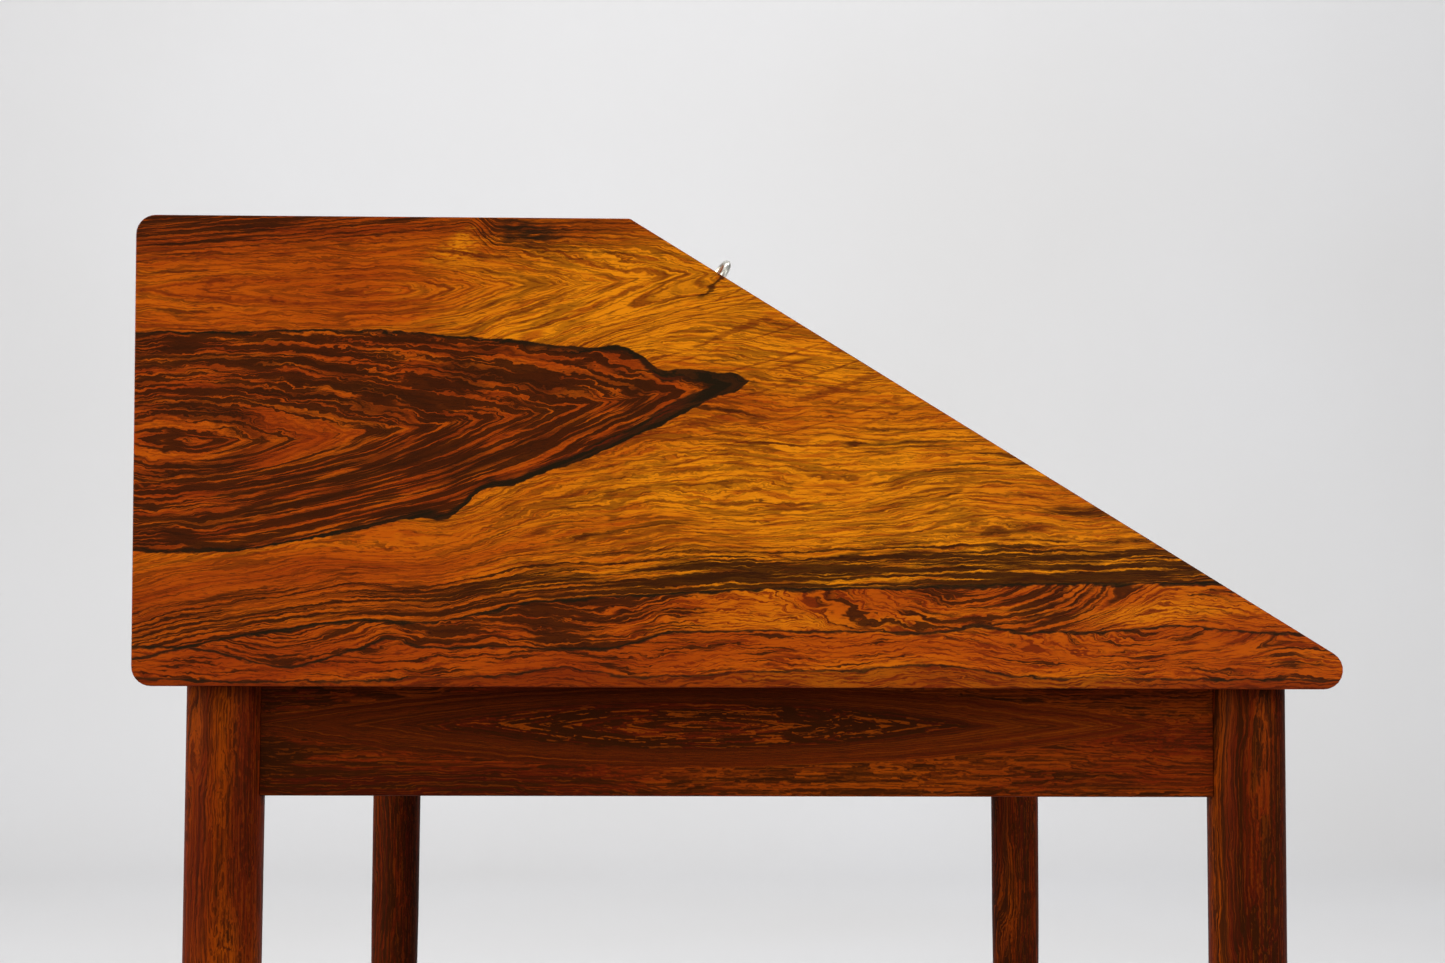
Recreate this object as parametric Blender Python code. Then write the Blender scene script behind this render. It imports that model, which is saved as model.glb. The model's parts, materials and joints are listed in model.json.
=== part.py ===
"""Slant-front writing desk on a stand with round legs, modelled piece by piece.

Metres, +Z up. The origin is on the floor under the middle of the desk, +X is the
user's right and the user sits on the -Y side.
"""

import math

import bmesh
import bpy
from mathutils import Matrix, Vector

# Driving dimensions of the case
CASE_WIDTH = 0.800
CASE_DEPTH = 0.560
CASE_HEIGHT = 0.217
CASE_UNDERSIDE = 0.690
BOARD = 0.018
CORNER_RADIUS = 0.009
SLOPE = math.radians(31.4)
GAP = 0.0003
ARRIS = 0.0006
FLOOR_SETBACK = 0.001
FLOOR_BEVEL_CLEARANCE = 0.001

# How finely round things are drawn, and how far a cutting tool runs past its cut
CORNER_STEPS = 7
TIP_STEPS = 9
FLAP_EDGE_STEPS = 12
SMALL_SIDES = 16
KNOB_SIDES = 20
ROUND_SIDES = 24
PLATE_SIDES = 32
LEG_SIDES = 36
PAST = 0.005

# Writing flap, which turns about the centre of the rounded front tip of the case
FLAP_SIDE_CLEARANCE = 0.001
FLAP_TOP_CLEARANCE = 0.0008
PIN_RADIUS = 0.0025
PIN_REACH = 0.0095
PIN_SEAT = 0.008
STOP_ALONG = 0.300
STOP_LENGTH = 0.040
STOP_WIDTH = 0.010
STOP_THICKNESS = 0.014

# Lock, measured along the slope from the pivot and out from the middle of the board
KEY_ALONG = 0.351
KEY_REST_TURN = math.radians(15)
KEY_TOP = 0.064
LOCK_HALF_WIDTH = 0.030
LOCK_LOWER_END = 0.333
LOCK_DEPTH = 0.010
BOLT_HALF_WIDTH = 0.012
BOLT_START = 0.3615
BOLT_THICKNESS = 0.0045
BOLT_MIDDLE = -0.00275
BOLT_SETBACK = 0.0005
BOLT_PLAY = 0.0025
CHAMBER_RADIUS = 0.0098
CHAMBER_LOW = -0.007
CHAMBER_HIGH = 0.005
STRIKE_HALF_WIDTH = 0.025
STRIKE_HALF_HEIGHT = 0.006
STRIKE_THICKNESS = 0.0015
STRIKE_SLOT = (0.0132, 0.0030)
STRIKE_POCKET = (0.0135, 0.0032)
STRIKE_POCKET_DEPTH = 0.008

# Keyhole and its escutcheon, and the key; slots run from the key's axis towards the hinge
KEYHOLE_RADIUS = 0.0045
KEYHOLE_SLOT_HALF = 0.0017
KEYHOLE_SLOT_END = 0.009
SLOT_START = 0.001
ESCUTCHEON_PROFILE = [(0.0110, 0), (0.0110, 0.0014), (0.0100, 0.0021), (0.0062, 0.0024)]
ESCUTCHEON_SUNK = 0.0013
ESCUTCHEON_HOLE = 0.0033
ESCUTCHEON_SLOT_HALF = 0.0014
ESCUTCHEON_SLOT_END = 0.008
BOW_RADIUS = 0.0085
BOW_WIRE = 0.0021
BOW_WIRE_SIDES = 10
SHANK_RADIUS = 0.0024
SHANK_END = -0.0062
SHANK_CHAMFER = 0.0006
COLLAR_RADIUS = 0.0036
COLLAR_LENGTH = 0.006
BIT_REACH = 0.0085
BIT_HALF_THICKNESS = 0.0011
BIT_LOW = -0.0056
BIT_HIGH = -0.0006

# Inside fittings
PANEL = 0.008
BACK_PANEL = 0.012
BACK_INSET = 0.006
SHELF_TOP = 0.778
ORGANIZER_FRONT = 0.030
SCOOP_DEPTH = 0.051
SCOOP_LIP = 0.006
SCOOP_STEPS = 8
PIGEONHOLE_SETBACK = 0.004
LETTER_SHELF_SETBACK = 0.045
DRAWER_BAY = 0.125
OUTER_PIGEONHOLE = 0.249
DRAWER_LENGTH = 0.210
DRAWER_FRONT = 0.012
DRAWER_SIDE = 0.006
DRAWER_WALL_HEIGHT = 0.050
DRAWER_CLEARANCE = 0.0007
DRAWER_BOTTOM = 0.003
DRAWER_BACK_DROP = 0.004
DRAWER_KNOB_RADIUS = 0.0075
DRAWER_KNOB_LENGTH = 0.014

# A turned knob's neck and flared face, as shares of its radius and length
KNOB_PROFILE = [
    (0.55, 0.00), (0.50, 0.35), (0.62, 0.55), (0.95, 0.78), (1.00, 0.88), (0.85, 0.97), (0.45, 1.00),
]

# Stand
LEG_RADIUS = 0.0185
FOOT_RADIUS = 0.0135
LEG_X = 0.3706
LEG_Y = 0.2413
LEG_SPLAY = 0.008
LEG_GAP = 0.0005
TAPER_START = 0.130
TAPER_STEPS = 6
TAPER_POWER = 1.6
SOCKET_DEPTH = 0.080
SOCKET_HEIGHT = 0.120
APRON_HEIGHT = 0.052
APRON_THICKNESS = 0.020
APRON_PROUD = 0.0073
APRON_ARRIS = 0.001
BRACE_HEIGHT = 0.040
BRACE_FAR = 0.033
BRACE_NEAR = 0.0148
GLIDE_RADIUS = 0.0105
GLIDE_HEIGHT = 0.004
GLIDE_CHAMFER = 0.001
GLIDE_CHAMFER_HEIGHT = 0.0008

# Pull-out lopers that carry the open flap
LOPER_X = 0.300
LOPER_WIDTH = 0.020
LOPER_HEIGHT = 0.032
LOPER_LENGTH = 0.438
LOPER_CLEARANCE = 0.0005
GUIDE_WALL = 0.014
GUIDE_FLOOR = 0.006
LOPER_ARRIS = 0.0008
LOPER_KNOB_RADIUS = 0.0085
LOPER_KNOB_LENGTH = 0.016

# Worked out from the values above
HALF_WIDTH = CASE_WIDTH / 2
HALF_DEPTH = CASE_DEPTH / 2
CASE_TOP = CASE_UNDERSIDE + CASE_HEIGHT
FLOOR_TOP = CASE_UNDERSIDE + BOARD
CEILING = CASE_TOP - BOARD
INNER_WIDTH = HALF_WIDTH - BOARD
PIVOT = Vector((0, CORNER_RADIUS - HALF_DEPTH, CASE_UNDERSIDE + CORNER_RADIUS))
SLOPE_RISE = CASE_TOP - PIVOT.z - CORNER_RADIUS * math.cos(SLOPE)
TOP_FRONT = PIVOT.y - CORNER_RADIUS * math.sin(SLOPE) + SLOPE_RISE / math.tan(SLOPE)
SLOPE_LENGTH = SLOPE_RISE / math.sin(SLOPE)
FLAP_LENGTH = SLOPE_LENGTH - FLAP_TOP_CLEARANCE
HALF_BOARD = BOARD / 2
BACK_FACE = HALF_DEPTH - BACK_INSET - BACK_PANEL
APRON_TOP = CASE_UNDERSIDE - GAP
APRON_BOTTOM = APRON_TOP - APRON_HEIGHT
APRON_OUT_Y = LEG_Y + APRON_PROUD
APRON_OUT_X = LEG_X + APRON_PROUD
LOPER_TOP = CASE_UNDERSIDE - 2 * GAP
LOPER_BOTTOM = LOPER_TOP - LOPER_HEIGHT


def clear_scene():
    for old in list(bpy.data.objects):
        bpy.data.objects.remove(old, do_unlink=True)


def material(name, colour, roughness, metallic=0.0):
    made = bpy.data.materials.new(name)
    made.use_nodes = True
    shader = made.node_tree.nodes["Principled BSDF"]
    shader.inputs["Base Color"].default_value = (*colour, 1.0)
    shader.inputs["Roughness"].default_value = roughness
    shader.inputs["Metallic"].default_value = metallic
    return made


def empty(name, location, rotation=(0, 0, 0), parent=None):
    made = bpy.data.objects.new(name, None)
    made.location = location
    made.rotation_euler = rotation
    made.parent = parent
    bpy.context.scene.collection.objects.link(made)
    return made


def finish(name, shape, finish_material, parent=None, origin=(0, 0, 0), arris=0.0):
    """Turns a bmesh into a named object whose origin is at the given point."""
    bmesh.ops.translate(shape, verts=shape.verts, vec=-Vector(origin))
    bmesh.ops.recalc_face_normals(shape, faces=shape.faces)
    mesh = bpy.data.meshes.new(name)
    shape.to_mesh(mesh)
    shape.free()
    mesh.shade_smooth()
    mesh.set_sharp_from_angle(angle=math.radians(30))
    if finish_material:
        mesh.materials.append(finish_material)
    made = bpy.data.objects.new(name, mesh)
    made.location = origin
    made.parent = parent
    bpy.context.scene.collection.objects.link(made)
    if arris:
        soft = made.modifiers.new("Softened arrises", "BEVEL")
        soft.width = arris
        soft.segments = 2
        soft.limit_method = "ANGLE"
        soft.angle_limit = math.radians(28)
        soft.harden_normals = False
    return made


def add_box(shape, low, high):
    size = Vector(high) - Vector(low)
    middle = (Vector(high) + Vector(low)) / 2
    place = Matrix.Translation(middle) @ Matrix.Diagonal((*size, 1))
    bmesh.ops.create_cube(shape, size=1, matrix=place)


def add_prism(shape, outline, low_x, high_x):
    """Adds an outline of (y, z) points, drawn out along X."""
    start = [shape.verts.new((low_x, y, z)) for y, z in outline]
    end = [shape.verts.new((high_x, y, z)) for y, z in outline]
    shape.faces.new(start)
    shape.faces.new(end)
    for i, _ in enumerate(outline):
        j = (i + 1) % len(outline)
        shape.faces.new((start[i], start[j], end[j], end[i]))


def add_turned(shape, profile, sides, place):
    """Adds a turned solid: (radius, height) rings about the placed Z axis."""
    rings = []
    for radius, height in profile:
        turn = [2 * math.pi * i / sides for i in range(sides)]
        ring = [Vector((radius * math.cos(a), radius * math.sin(a), height)) for a in turn]
        rings.append([shape.verts.new(place @ point) for point in ring])
    shape.faces.new(rings[0])
    shape.faces.new(rings[-1])
    for lower, upper in zip(rings, rings[1:]):
        for i in range(sides):
            j = (i + 1) % sides
            shape.faces.new((lower[i], lower[j], upper[j], upper[i]))


def box(name, low, high, finish_material, arris=0.0, parent=None, origin=(0, 0, 0)):
    shape = bmesh.new()
    add_box(shape, low, high)
    return finish(name, shape, finish_material, parent, origin, arris)


def prism(name, outline, low_x, high_x, finish_material, arris=0.0, parent=None):
    shape = bmesh.new()
    add_prism(shape, outline, low_x, high_x)
    return finish(name, shape, finish_material, parent, arris=arris)


def turned(name, profile, sides, places, finish_material, parent=None, origin=(0, 0, 0)):
    """One turned solid for each placing matrix, all in one object."""
    shape = bmesh.new()
    for place in places:
        add_turned(shape, profile, sides, place)
    return finish(name, shape, finish_material, parent, origin)


def boolean(target, tool, operation="DIFFERENCE"):
    step = target.modifiers.new(tool.name, "BOOLEAN")
    step.object = tool
    step.operation = operation
    step.solver = "EXACT"


def as_tool(made):
    made.hide_render = True
    made.display_type = "WIRE"
    return made


def arc(centre, radius, start, end, steps):
    """Points of a round corner in the (y, z) plane, angles in degrees."""
    points = []
    for i in range(steps + 1):
        angle = math.radians(start + (end - start) * i / steps)
        points.append((centre[0] + radius * math.cos(angle), centre[1] + radius * math.sin(angle)))
    return points


def along(axis, point):
    """A placing matrix whose Z axis points along the given direction."""
    turn = Vector(axis).to_track_quat("Z", "Y").to_matrix().to_4x4()
    return Matrix.Translation(point) @ turn


def rod(radius, length):
    return [(radius, 0), (radius, length)]


# Case

def side_panel(name, side, wood, pin_holes):
    """The whole side outline: round back corners, sloping front and rounded tip."""
    slope_degrees = math.degrees(SLOPE)
    r = CORNER_RADIUS
    outline = arc((PIVOT.y, PIVOT.z), r, 90 + slope_degrees, 270, TIP_STEPS)
    outline += arc((HALF_DEPTH - r, CASE_UNDERSIDE + r), r, -90, 0, CORNER_STEPS)
    outline += arc((HALF_DEPTH - r, CASE_TOP - r), r, 0, 90, CORNER_STEPS)
    outline.append((TOP_FRONT, CASE_TOP))
    outer, inner = side * HALF_WIDTH, side * INNER_WIDTH
    panel = prism(name, outline, min(outer, inner), max(outer, inner), wood, ARRIS)
    boolean(panel, pin_holes)


def top_board(wood, strike_cuts):
    """Its front edge is square to the slope, so the closed flap meets it flat."""
    low, high, r = CEILING, CASE_TOP, CORNER_RADIUS
    outline = [(TOP_FRONT, high), (TOP_FRONT + BOARD * math.tan(SLOPE), low)]
    outline += [(HALF_DEPTH, low)]
    outline += arc((HALF_DEPTH - r, high - r), r, 0, 90, CORNER_STEPS)
    reach = INNER_WIDTH - GAP
    board = prism("top_board", outline, -reach, reach, wood)
    for cut in strike_cuts:
        boolean(board, cut)


def bottom_board(wood):
    """Its front edge is bevelled under the closed flap, which leaves a shallow
    groove behind the open flap."""
    low, high, r = CASE_UNDERSIDE, FLOOR_TOP, CORNER_RADIUS
    front = PIVOT.y + r + FLOOR_SETBACK
    bevel_top = PIVOT.y + (high - PIVOT.z) / math.tan(SLOPE)
    bevel_top += (HALF_BOARD + FLOOR_BEVEL_CLEARANCE) / math.sin(SLOPE)
    bevel_start = high - (bevel_top - front) * math.tan(SLOPE)
    outline = [(front, low)]
    outline += arc((HALF_DEPTH - r, low + r), r, -90, 0, CORNER_STEPS)
    outline += [(HALF_DEPTH, high), (bevel_top, high), (front, bevel_start)]
    reach = INNER_WIDTH - GAP
    prism("bottom_board", outline, -reach, reach, wood)


def back_panel(wood):
    reach = INNER_WIDTH - GAP
    low = (-reach, BACK_FACE, FLOOR_TOP + GAP)
    high = (reach, BACK_FACE + BACK_PANEL, CEILING - GAP)
    box("back_panel", low, high, wood, ARRIS)


def flap_stops(wood):
    """Two small blocks on the side panels that the closed flap rests on."""
    for word, side in (("left", -1), ("right", 1)):
        ends = sorted((side * (INNER_WIDTH - GAP), side * (INNER_WIDTH - STOP_WIDTH)))
        shape = bmesh.new()
        add_box(
            shape,
            (ends[0], STOP_ALONG, -HALF_BOARD - STOP_THICKNESS),
            (ends[1], STOP_ALONG + STOP_LENGTH, -HALF_BOARD - GAP),
        )
        bmesh.ops.transform(shape, matrix=slope_frame(), verts=shape.verts)
        finish(f"flap_stop_{word}", shape, wood)


def slope_frame():
    """X across, Y up the slope, Z out of the flap, from the pivot axis."""
    return Matrix.Translation(PIVOT) @ Matrix.Rotation(SLOPE, 4, "X")


# Organizer

def scooped_outline(bottom, front):
    """Straight lip at the front, then a hollow quarter curve up to the ceiling."""
    top = CEILING - GAP
    lip = SHELF_TOP + SCOOP_LIP
    outline = [(BACK_FACE - GAP, bottom), (front, bottom), (front, lip)]
    for i in range(1, SCOOP_STEPS + 1):
        turn = math.pi / 2 * i / SCOOP_STEPS
        outline.append((front + SCOOP_DEPTH * math.sin(turn), top - (top - lip) * math.cos(turn)))
    outline.append((BACK_FACE - GAP, top))
    return outline


def organizer(wood):
    shelf_low = SHELF_TOP - PANEL
    side_out = INNER_WIDTH - 2 * GAP
    for word, side in (("left", -1), ("right", 1)):
        ends = sorted((side * side_out, side * (side_out - PANEL)))
        outline = scooped_outline(FLOOR_TOP + GAP, ORGANIZER_FRONT)
        prism(f"organizer_side_{word}", outline, *ends, wood)
        middle = side * DRAWER_BAY
        box(
            f"drawer_divider_{word}",
            (middle - PANEL / 2, ORGANIZER_FRONT, FLOOR_TOP + GAP),
            (middle + PANEL / 2, BACK_FACE - GAP, shelf_low - GAP),
            wood,
            ARRIS,
        )
    reach = side_out - PANEL - GAP
    box(
        "organizer_shelf",
        (-reach, ORGANIZER_FRONT, shelf_low),
        (reach, BACK_FACE - GAP, SHELF_TOP),
        wood,
        ARRIS,
    )
    places = (-OUTER_PIGEONHOLE, -DRAWER_BAY, DRAWER_BAY, OUTER_PIGEONHOLE)
    for number, middle in enumerate(places, start=1):
        outline = scooped_outline(SHELF_TOP + GAP, ORGANIZER_FRONT + PIGEONHOLE_SETBACK)
        ends = (middle - PANEL / 2, middle + PANEL / 2)
        prism(f"pigeonhole_divider_{number}", outline, *ends, wood)
    reach = DRAWER_BAY - PANEL / 2 - GAP
    height = (SHELF_TOP + CEILING) / 2
    box(
        "letter_shelf",
        (-reach, ORGANIZER_FRONT + LETTER_SHELF_SETBACK, height),
        (reach, BACK_FACE - GAP, height + PANEL),
        wood,
        ARRIS,
    )


def drawer(word, side, front_wood, box_wood, brass):
    """A small drawer of five boards and a knob, under one slide axis empty."""
    bay_inner = DRAWER_BAY + PANEL / 2
    bay_outer = INNER_WIDTH - 2 * GAP - PANEL
    low_x = bay_inner + DRAWER_CLEARANCE
    high_x = bay_outer - DRAWER_CLEARANCE
    middle = side * (low_x + high_x) / 2
    half = (high_x - low_x) / 2
    low_z = FLOOR_TOP + 2 * GAP
    high_z = SHELF_TOP - PANEL - DRAWER_CLEARANCE
    slide = empty(f"drawer_{word}_slide", (middle, ORGANIZER_FRONT, low_z))
    height = high_z - low_z
    box(
        f"drawer_{word}_front",
        (-half, GAP, 0),
        (half, DRAWER_FRONT, height),
        front_wood,
        ARRIS,
        slide,
    )
    start, end = DRAWER_FRONT + GAP, DRAWER_LENGTH
    for wall, hand in (("left", -1), ("right", 1)):
        ends = sorted((hand * half, hand * (half - DRAWER_SIDE)))
        box(
            f"drawer_{word}_wall_{wall}",
            (ends[0], start, 0),
            (ends[1], end, DRAWER_WALL_HEIGHT),
            box_wood,
            0,
            slide,
        )
    reach = half - DRAWER_SIDE - GAP
    box(
        f"drawer_{word}_back",
        (-reach, end - DRAWER_SIDE, DRAWER_BOTTOM),
        (reach, end, DRAWER_WALL_HEIGHT - DRAWER_BACK_DROP),
        box_wood,
        0,
        slide,
    )
    box(
        f"drawer_{word}_bottom",
        (-reach, start, DRAWER_BOTTOM),
        (reach, end - DRAWER_SIDE - GAP, 2 * DRAWER_BOTTOM),
        box_wood,
        0,
        slide,
    )
    turned(
        f"drawer_{word}_knob",
        knob_profile(DRAWER_KNOB_RADIUS, DRAWER_KNOB_LENGTH),
        KNOB_SIDES,
        [along((0, -1, 0), (0, 0, height / 2))],
        brass,
        slide,
    )


def knob_profile(radius, length):
    """A narrow neck that flares to a slightly domed face."""
    return [(radius * across, length * height) for across, height in KNOB_PROFILE]


# Flap and lock

def flap_board(pivot, wood, cuts):
    """Round lower edge about the pivot axis and a square upper edge."""
    outline = arc((0, 0), HALF_BOARD, 90, 270, FLAP_EDGE_STEPS)
    outline += [(FLAP_LENGTH, -HALF_BOARD), (FLAP_LENGTH, HALF_BOARD)]
    reach = INNER_WIDTH - FLAP_SIDE_CLEARANCE
    board = prism("flap_board", outline, -reach, reach, wood, 0, pivot)
    for cut in cuts:
        boolean(board, cut)


def flap_cutters(pivot):
    """The lock's recess, its keyhole, the escutcheon's seat and the pin bores."""
    recess = box(
        "lock_recess",
        (-LOCK_HALF_WIDTH - GAP, LOCK_LOWER_END - GAP, -HALF_BOARD - PAST),
        (LOCK_HALF_WIDTH + GAP, FLAP_LENGTH + PAST, -HALF_BOARD + LOCK_DEPTH + GAP),
        None,
        parent=pivot,
    )
    keyhole = turned(
        "keyhole_bore",
        rod(KEYHOLE_RADIUS, HALF_BOARD + PAST),
        ROUND_SIDES,
        [Matrix.Translation((0, KEY_ALONG, 0))],
        None,
        pivot,
    )
    slot = box(
        "keyhole_slot",
        (-KEYHOLE_SLOT_HALF, KEY_ALONG - KEYHOLE_SLOT_END, 0),
        (KEYHOLE_SLOT_HALF, KEY_ALONG - SLOT_START, HALF_BOARD + PAST),
        None,
        parent=pivot,
    )
    seat = turned(
        "escutcheon_seat",
        rod(ESCUTCHEON_PROFILE[0][0] + GAP, ESCUTCHEON_SUNK + GAP + PAST),
        PLATE_SIDES,
        [Matrix.Translation((0, KEY_ALONG, HALF_BOARD - ESCUTCHEON_SUNK - GAP))],
        None,
        pivot,
    )
    bores = turned(
        "flap_pin_bores",
        rod(PIN_RADIUS + GAP, PIN_REACH + GAP + PAST),
        SMALL_SIDES,
        pin_places(PIN_REACH + GAP),
        None,
        pivot,
    )
    return [as_tool(cut) for cut in (recess, keyhole, slot, seat, bores)]


def pin_places(reach):
    """Where each pin starts: inside the flap, pointing out to its side panel."""
    start = INNER_WIDTH - FLAP_SIDE_CLEARANCE - reach
    return [along((side, 0, 0), (side * start, 0, 0)) for side in (-1, 1)]


def lock_body(pivot, brass):
    case = box(
        "lock_body",
        (-LOCK_HALF_WIDTH, LOCK_LOWER_END, -HALF_BOARD),
        (LOCK_HALF_WIDTH, FLAP_LENGTH, -HALF_BOARD + LOCK_DEPTH),
        brass,
        parent=pivot,
    )
    chamber = turned(
        "key_chamber",
        rod(CHAMBER_RADIUS, CHAMBER_HIGH - CHAMBER_LOW),
        ROUND_SIDES,
        [Matrix.Translation((0, KEY_ALONG, CHAMBER_LOW))],
        None,
        pivot,
    )
    channel = box(
        "bolt_channel",
        (-BOLT_HALF_WIDTH - GAP, BOLT_START - BOLT_PLAY, BOLT_MIDDLE - BOLT_THICKNESS / 2 - GAP),
        (BOLT_HALF_WIDTH + GAP, FLAP_LENGTH + PAST, BOLT_MIDDLE + BOLT_THICKNESS / 2 + GAP),
        None,
        parent=pivot,
    )
    for cut in (chamber, channel):
        boolean(case, as_tool(cut))


def lock_bolt(pivot, steel):
    half = BOLT_THICKNESS / 2
    box(
        "lock_bolt",
        (-BOLT_HALF_WIDTH, BOLT_START, BOLT_MIDDLE - half),
        (BOLT_HALF_WIDTH, FLAP_LENGTH - BOLT_SETBACK, BOLT_MIDDLE + half),
        steel,
        parent=pivot,
        origin=(0, BOLT_START, BOLT_MIDDLE),
    )


def strike_block(name, half_width, half_height, start, end, finish_material):
    """A block about the bolt's line, between two distances up the slope from its top edge."""
    shape = bmesh.new()
    low = (-half_width, SLOPE_LENGTH + start, BOLT_MIDDLE - half_height)
    high = (half_width, SLOPE_LENGTH + end, BOLT_MIDDLE + half_height)
    add_box(shape, low, high)
    bmesh.ops.transform(shape, matrix=slope_frame(), verts=shape.verts)
    return finish(name, shape, finish_material)


def strike_cutters():
    """Seat of the strike plate and the pocket behind it that takes the bolt."""
    half_width, half_height = STRIKE_HALF_WIDTH + GAP, STRIKE_HALF_HEIGHT + GAP
    seat = strike_block("strike_seat", half_width, half_height, -PAST, STRIKE_THICKNESS + GAP, None)
    pocket = strike_block("strike_pocket", *STRIKE_POCKET, -PAST, STRIKE_POCKET_DEPTH, None)
    return [as_tool(seat), as_tool(pocket)]


def strike_plate(brass):
    plate = strike_block("strike_plate", STRIKE_HALF_WIDTH, STRIKE_HALF_HEIGHT, 0,
                         STRIKE_THICKNESS, brass)
    boolean(plate, as_tool(strike_block("strike_slot", *STRIKE_SLOT, -PAST, PAST, None)))


def escutcheon(pivot, brass):
    """A domed ring with a keyhole, let into the face of the flap."""
    base = HALF_BOARD - ESCUTCHEON_SUNK
    ring = turned(
        "escutcheon",
        ESCUTCHEON_PROFILE,
        PLATE_SIDES,
        [Matrix.Translation((0, KEY_ALONG, base))],
        brass,
        pivot,
    )
    hole = turned(
        "escutcheon_hole",
        rod(ESCUTCHEON_HOLE, 2 * PAST),
        KNOB_SIDES,
        [Matrix.Translation((0, KEY_ALONG, base - PAST))],
        None,
        pivot,
    )
    slot = box(
        "escutcheon_slot",
        (-ESCUTCHEON_SLOT_HALF, KEY_ALONG - ESCUTCHEON_SLOT_END, base - PAST),
        (ESCUTCHEON_SLOT_HALF, KEY_ALONG - SLOT_START, base + PAST),
        None,
        parent=pivot,
    )
    for cut in (hole, slot):
        boolean(ring, as_tool(cut))


def key(pivot, brass):
    """Shank, bit and an open ring for a bow, all turning about the shank's axis."""
    axis = empty("key_axis", (0, KEY_ALONG, 0), (0, 0, KEY_REST_TURN), pivot)
    bow_middle = KEY_TOP - BOW_RADIUS - BOW_WIRE
    bow_foot = bow_middle - BOW_RADIUS
    collar = bow_foot - BOW_WIRE / 2
    profile = [
        (SHANK_RADIUS - SHANK_CHAMFER, SHANK_END),
        (SHANK_RADIUS, SHANK_END + SHANK_CHAMFER),
        (SHANK_RADIUS, collar - COLLAR_LENGTH - SHANK_CHAMFER),
        (COLLAR_RADIUS, collar - COLLAR_LENGTH),
        (COLLAR_RADIUS, collar - SHANK_CHAMFER),
        (COLLAR_RADIUS - SHANK_CHAMFER, collar),
        (SHANK_RADIUS - SHANK_CHAMFER / 2, collar + SHANK_CHAMFER),
        (SHANK_RADIUS - SHANK_CHAMFER / 2, bow_foot + BOW_WIRE / 2),
    ]
    shank = turned("key", profile, KNOB_SIDES, [Matrix.Identity(4)], brass, axis)
    bow = bmesh.new()
    add_ring(bow, Vector((0, 0, bow_middle)), BOW_RADIUS, BOW_WIRE, ROUND_SIDES, BOW_WIRE_SIDES)
    bit = box(
        "key_bit",
        (SLOT_START, -BIT_HALF_THICKNESS, BIT_LOW),
        (BIT_REACH, BIT_HALF_THICKNESS, BIT_HIGH),
        None,
        parent=axis,
    )
    boolean(shank, as_tool(finish("key_bow", bow, None, axis)), "UNION")
    boolean(shank, as_tool(bit), "UNION")


def add_ring(shape, middle, radius, wire, around, sides):
    """A round-wire ring that stands in the XZ plane."""
    loops = []
    for i in range(around):
        a = 2 * math.pi * i / around
        out = Vector((math.cos(a), 0, math.sin(a)))
        loop = []
        for j in range(sides):
            b = 2 * math.pi * j / sides
            offset = out * (radius + wire * math.cos(b)) + Vector((0, wire * math.sin(b), 0))
            loop.append(shape.verts.new(middle + offset))
        loops.append(loop)
    for i in range(around):
        one, two = loops[i], loops[(i + 1) % around]
        for j in range(sides):
            k = (j + 1) % sides
            shape.faces.new((one[j], one[k], two[k], two[j]))


# Stand

def leg_profile():
    """Parallel behind the aprons, then a taper that quickens towards the foot."""
    length = CASE_UNDERSIDE - GLIDE_HEIGHT - 2 * LEG_GAP
    profile = [(LEG_RADIUS, 0), (LEG_RADIUS, -TAPER_START)]
    for i in range(1, TAPER_STEPS + 1):
        share = i / TAPER_STEPS
        height = -TAPER_START - (length - TAPER_START) * share
        profile.append((LEG_RADIUS - (LEG_RADIUS - FOOT_RADIUS) * share**TAPER_POWER, height))
    return profile


def corners():
    """Name, side along X and side along Y of each leg."""
    return [(f"{depth}_{hand}", x, y)
            for depth, y in (("front", -1), ("back", 1))
            for hand, x in (("left", -1), ("right", 1))]


def leg_place(x, y):
    top = Vector((x * LEG_X, y * LEG_Y, CASE_UNDERSIDE - LEG_GAP))
    return Matrix.Translation(top) @ Matrix.Rotation(y * LEG_SPLAY, 4, "X")


def legs(wood):
    for name, x, y in corners():
        turned(f"leg_{name}", leg_profile(), LEG_SIDES, [leg_place(x, y)], wood)


def leg_sockets():
    """Round clearance that copes the apron ends to the legs."""
    drop = Matrix.Translation((0, 0, -SOCKET_DEPTH))
    places = [leg_place(x, y) @ drop for _, x, y in corners()]
    return as_tool(turned("leg_sockets", rod(LEG_RADIUS + GAP, SOCKET_HEIGHT), LEG_SIDES, places, None))


def aprons(wood, sockets):
    for name, side in (("front", -1), ("back", 1)):
        faces = sorted((side * APRON_OUT_Y, side * (APRON_OUT_Y - APRON_THICKNESS)))
        rail = box(
            f"apron_{name}",
            (-LEG_X, faces[0], APRON_BOTTOM),
            (LEG_X, faces[1], APRON_TOP),
            wood,
            APRON_ARRIS,
        )
        boolean(rail, sockets)
        if side < 0:
            boolean(rail, loper_notches())
    for name, side in (("left", -1), ("right", 1)):
        faces = sorted((side * APRON_OUT_X, side * (APRON_OUT_X - APRON_THICKNESS)))
        rail = box(
            f"apron_{name}",
            (faces[0], -LEG_Y, APRON_BOTTOM),
            (faces[1], LEG_Y, APRON_TOP),
            wood,
            APRON_ARRIS,
        )
        boolean(rail, sockets)


def loper_notches():
    shape = bmesh.new()
    half = LOPER_WIDTH / 2 + LOPER_CLEARANCE
    for side in (-1, 1):
        add_box(
            shape,
            (side * LOPER_X - half, -HALF_DEPTH, LOPER_BOTTOM - LOPER_CLEARANCE),
            (side * LOPER_X + half, 0, CASE_UNDERSIDE + PAST),
        )
    return as_tool(finish("loper_notches", shape, None))


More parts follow.
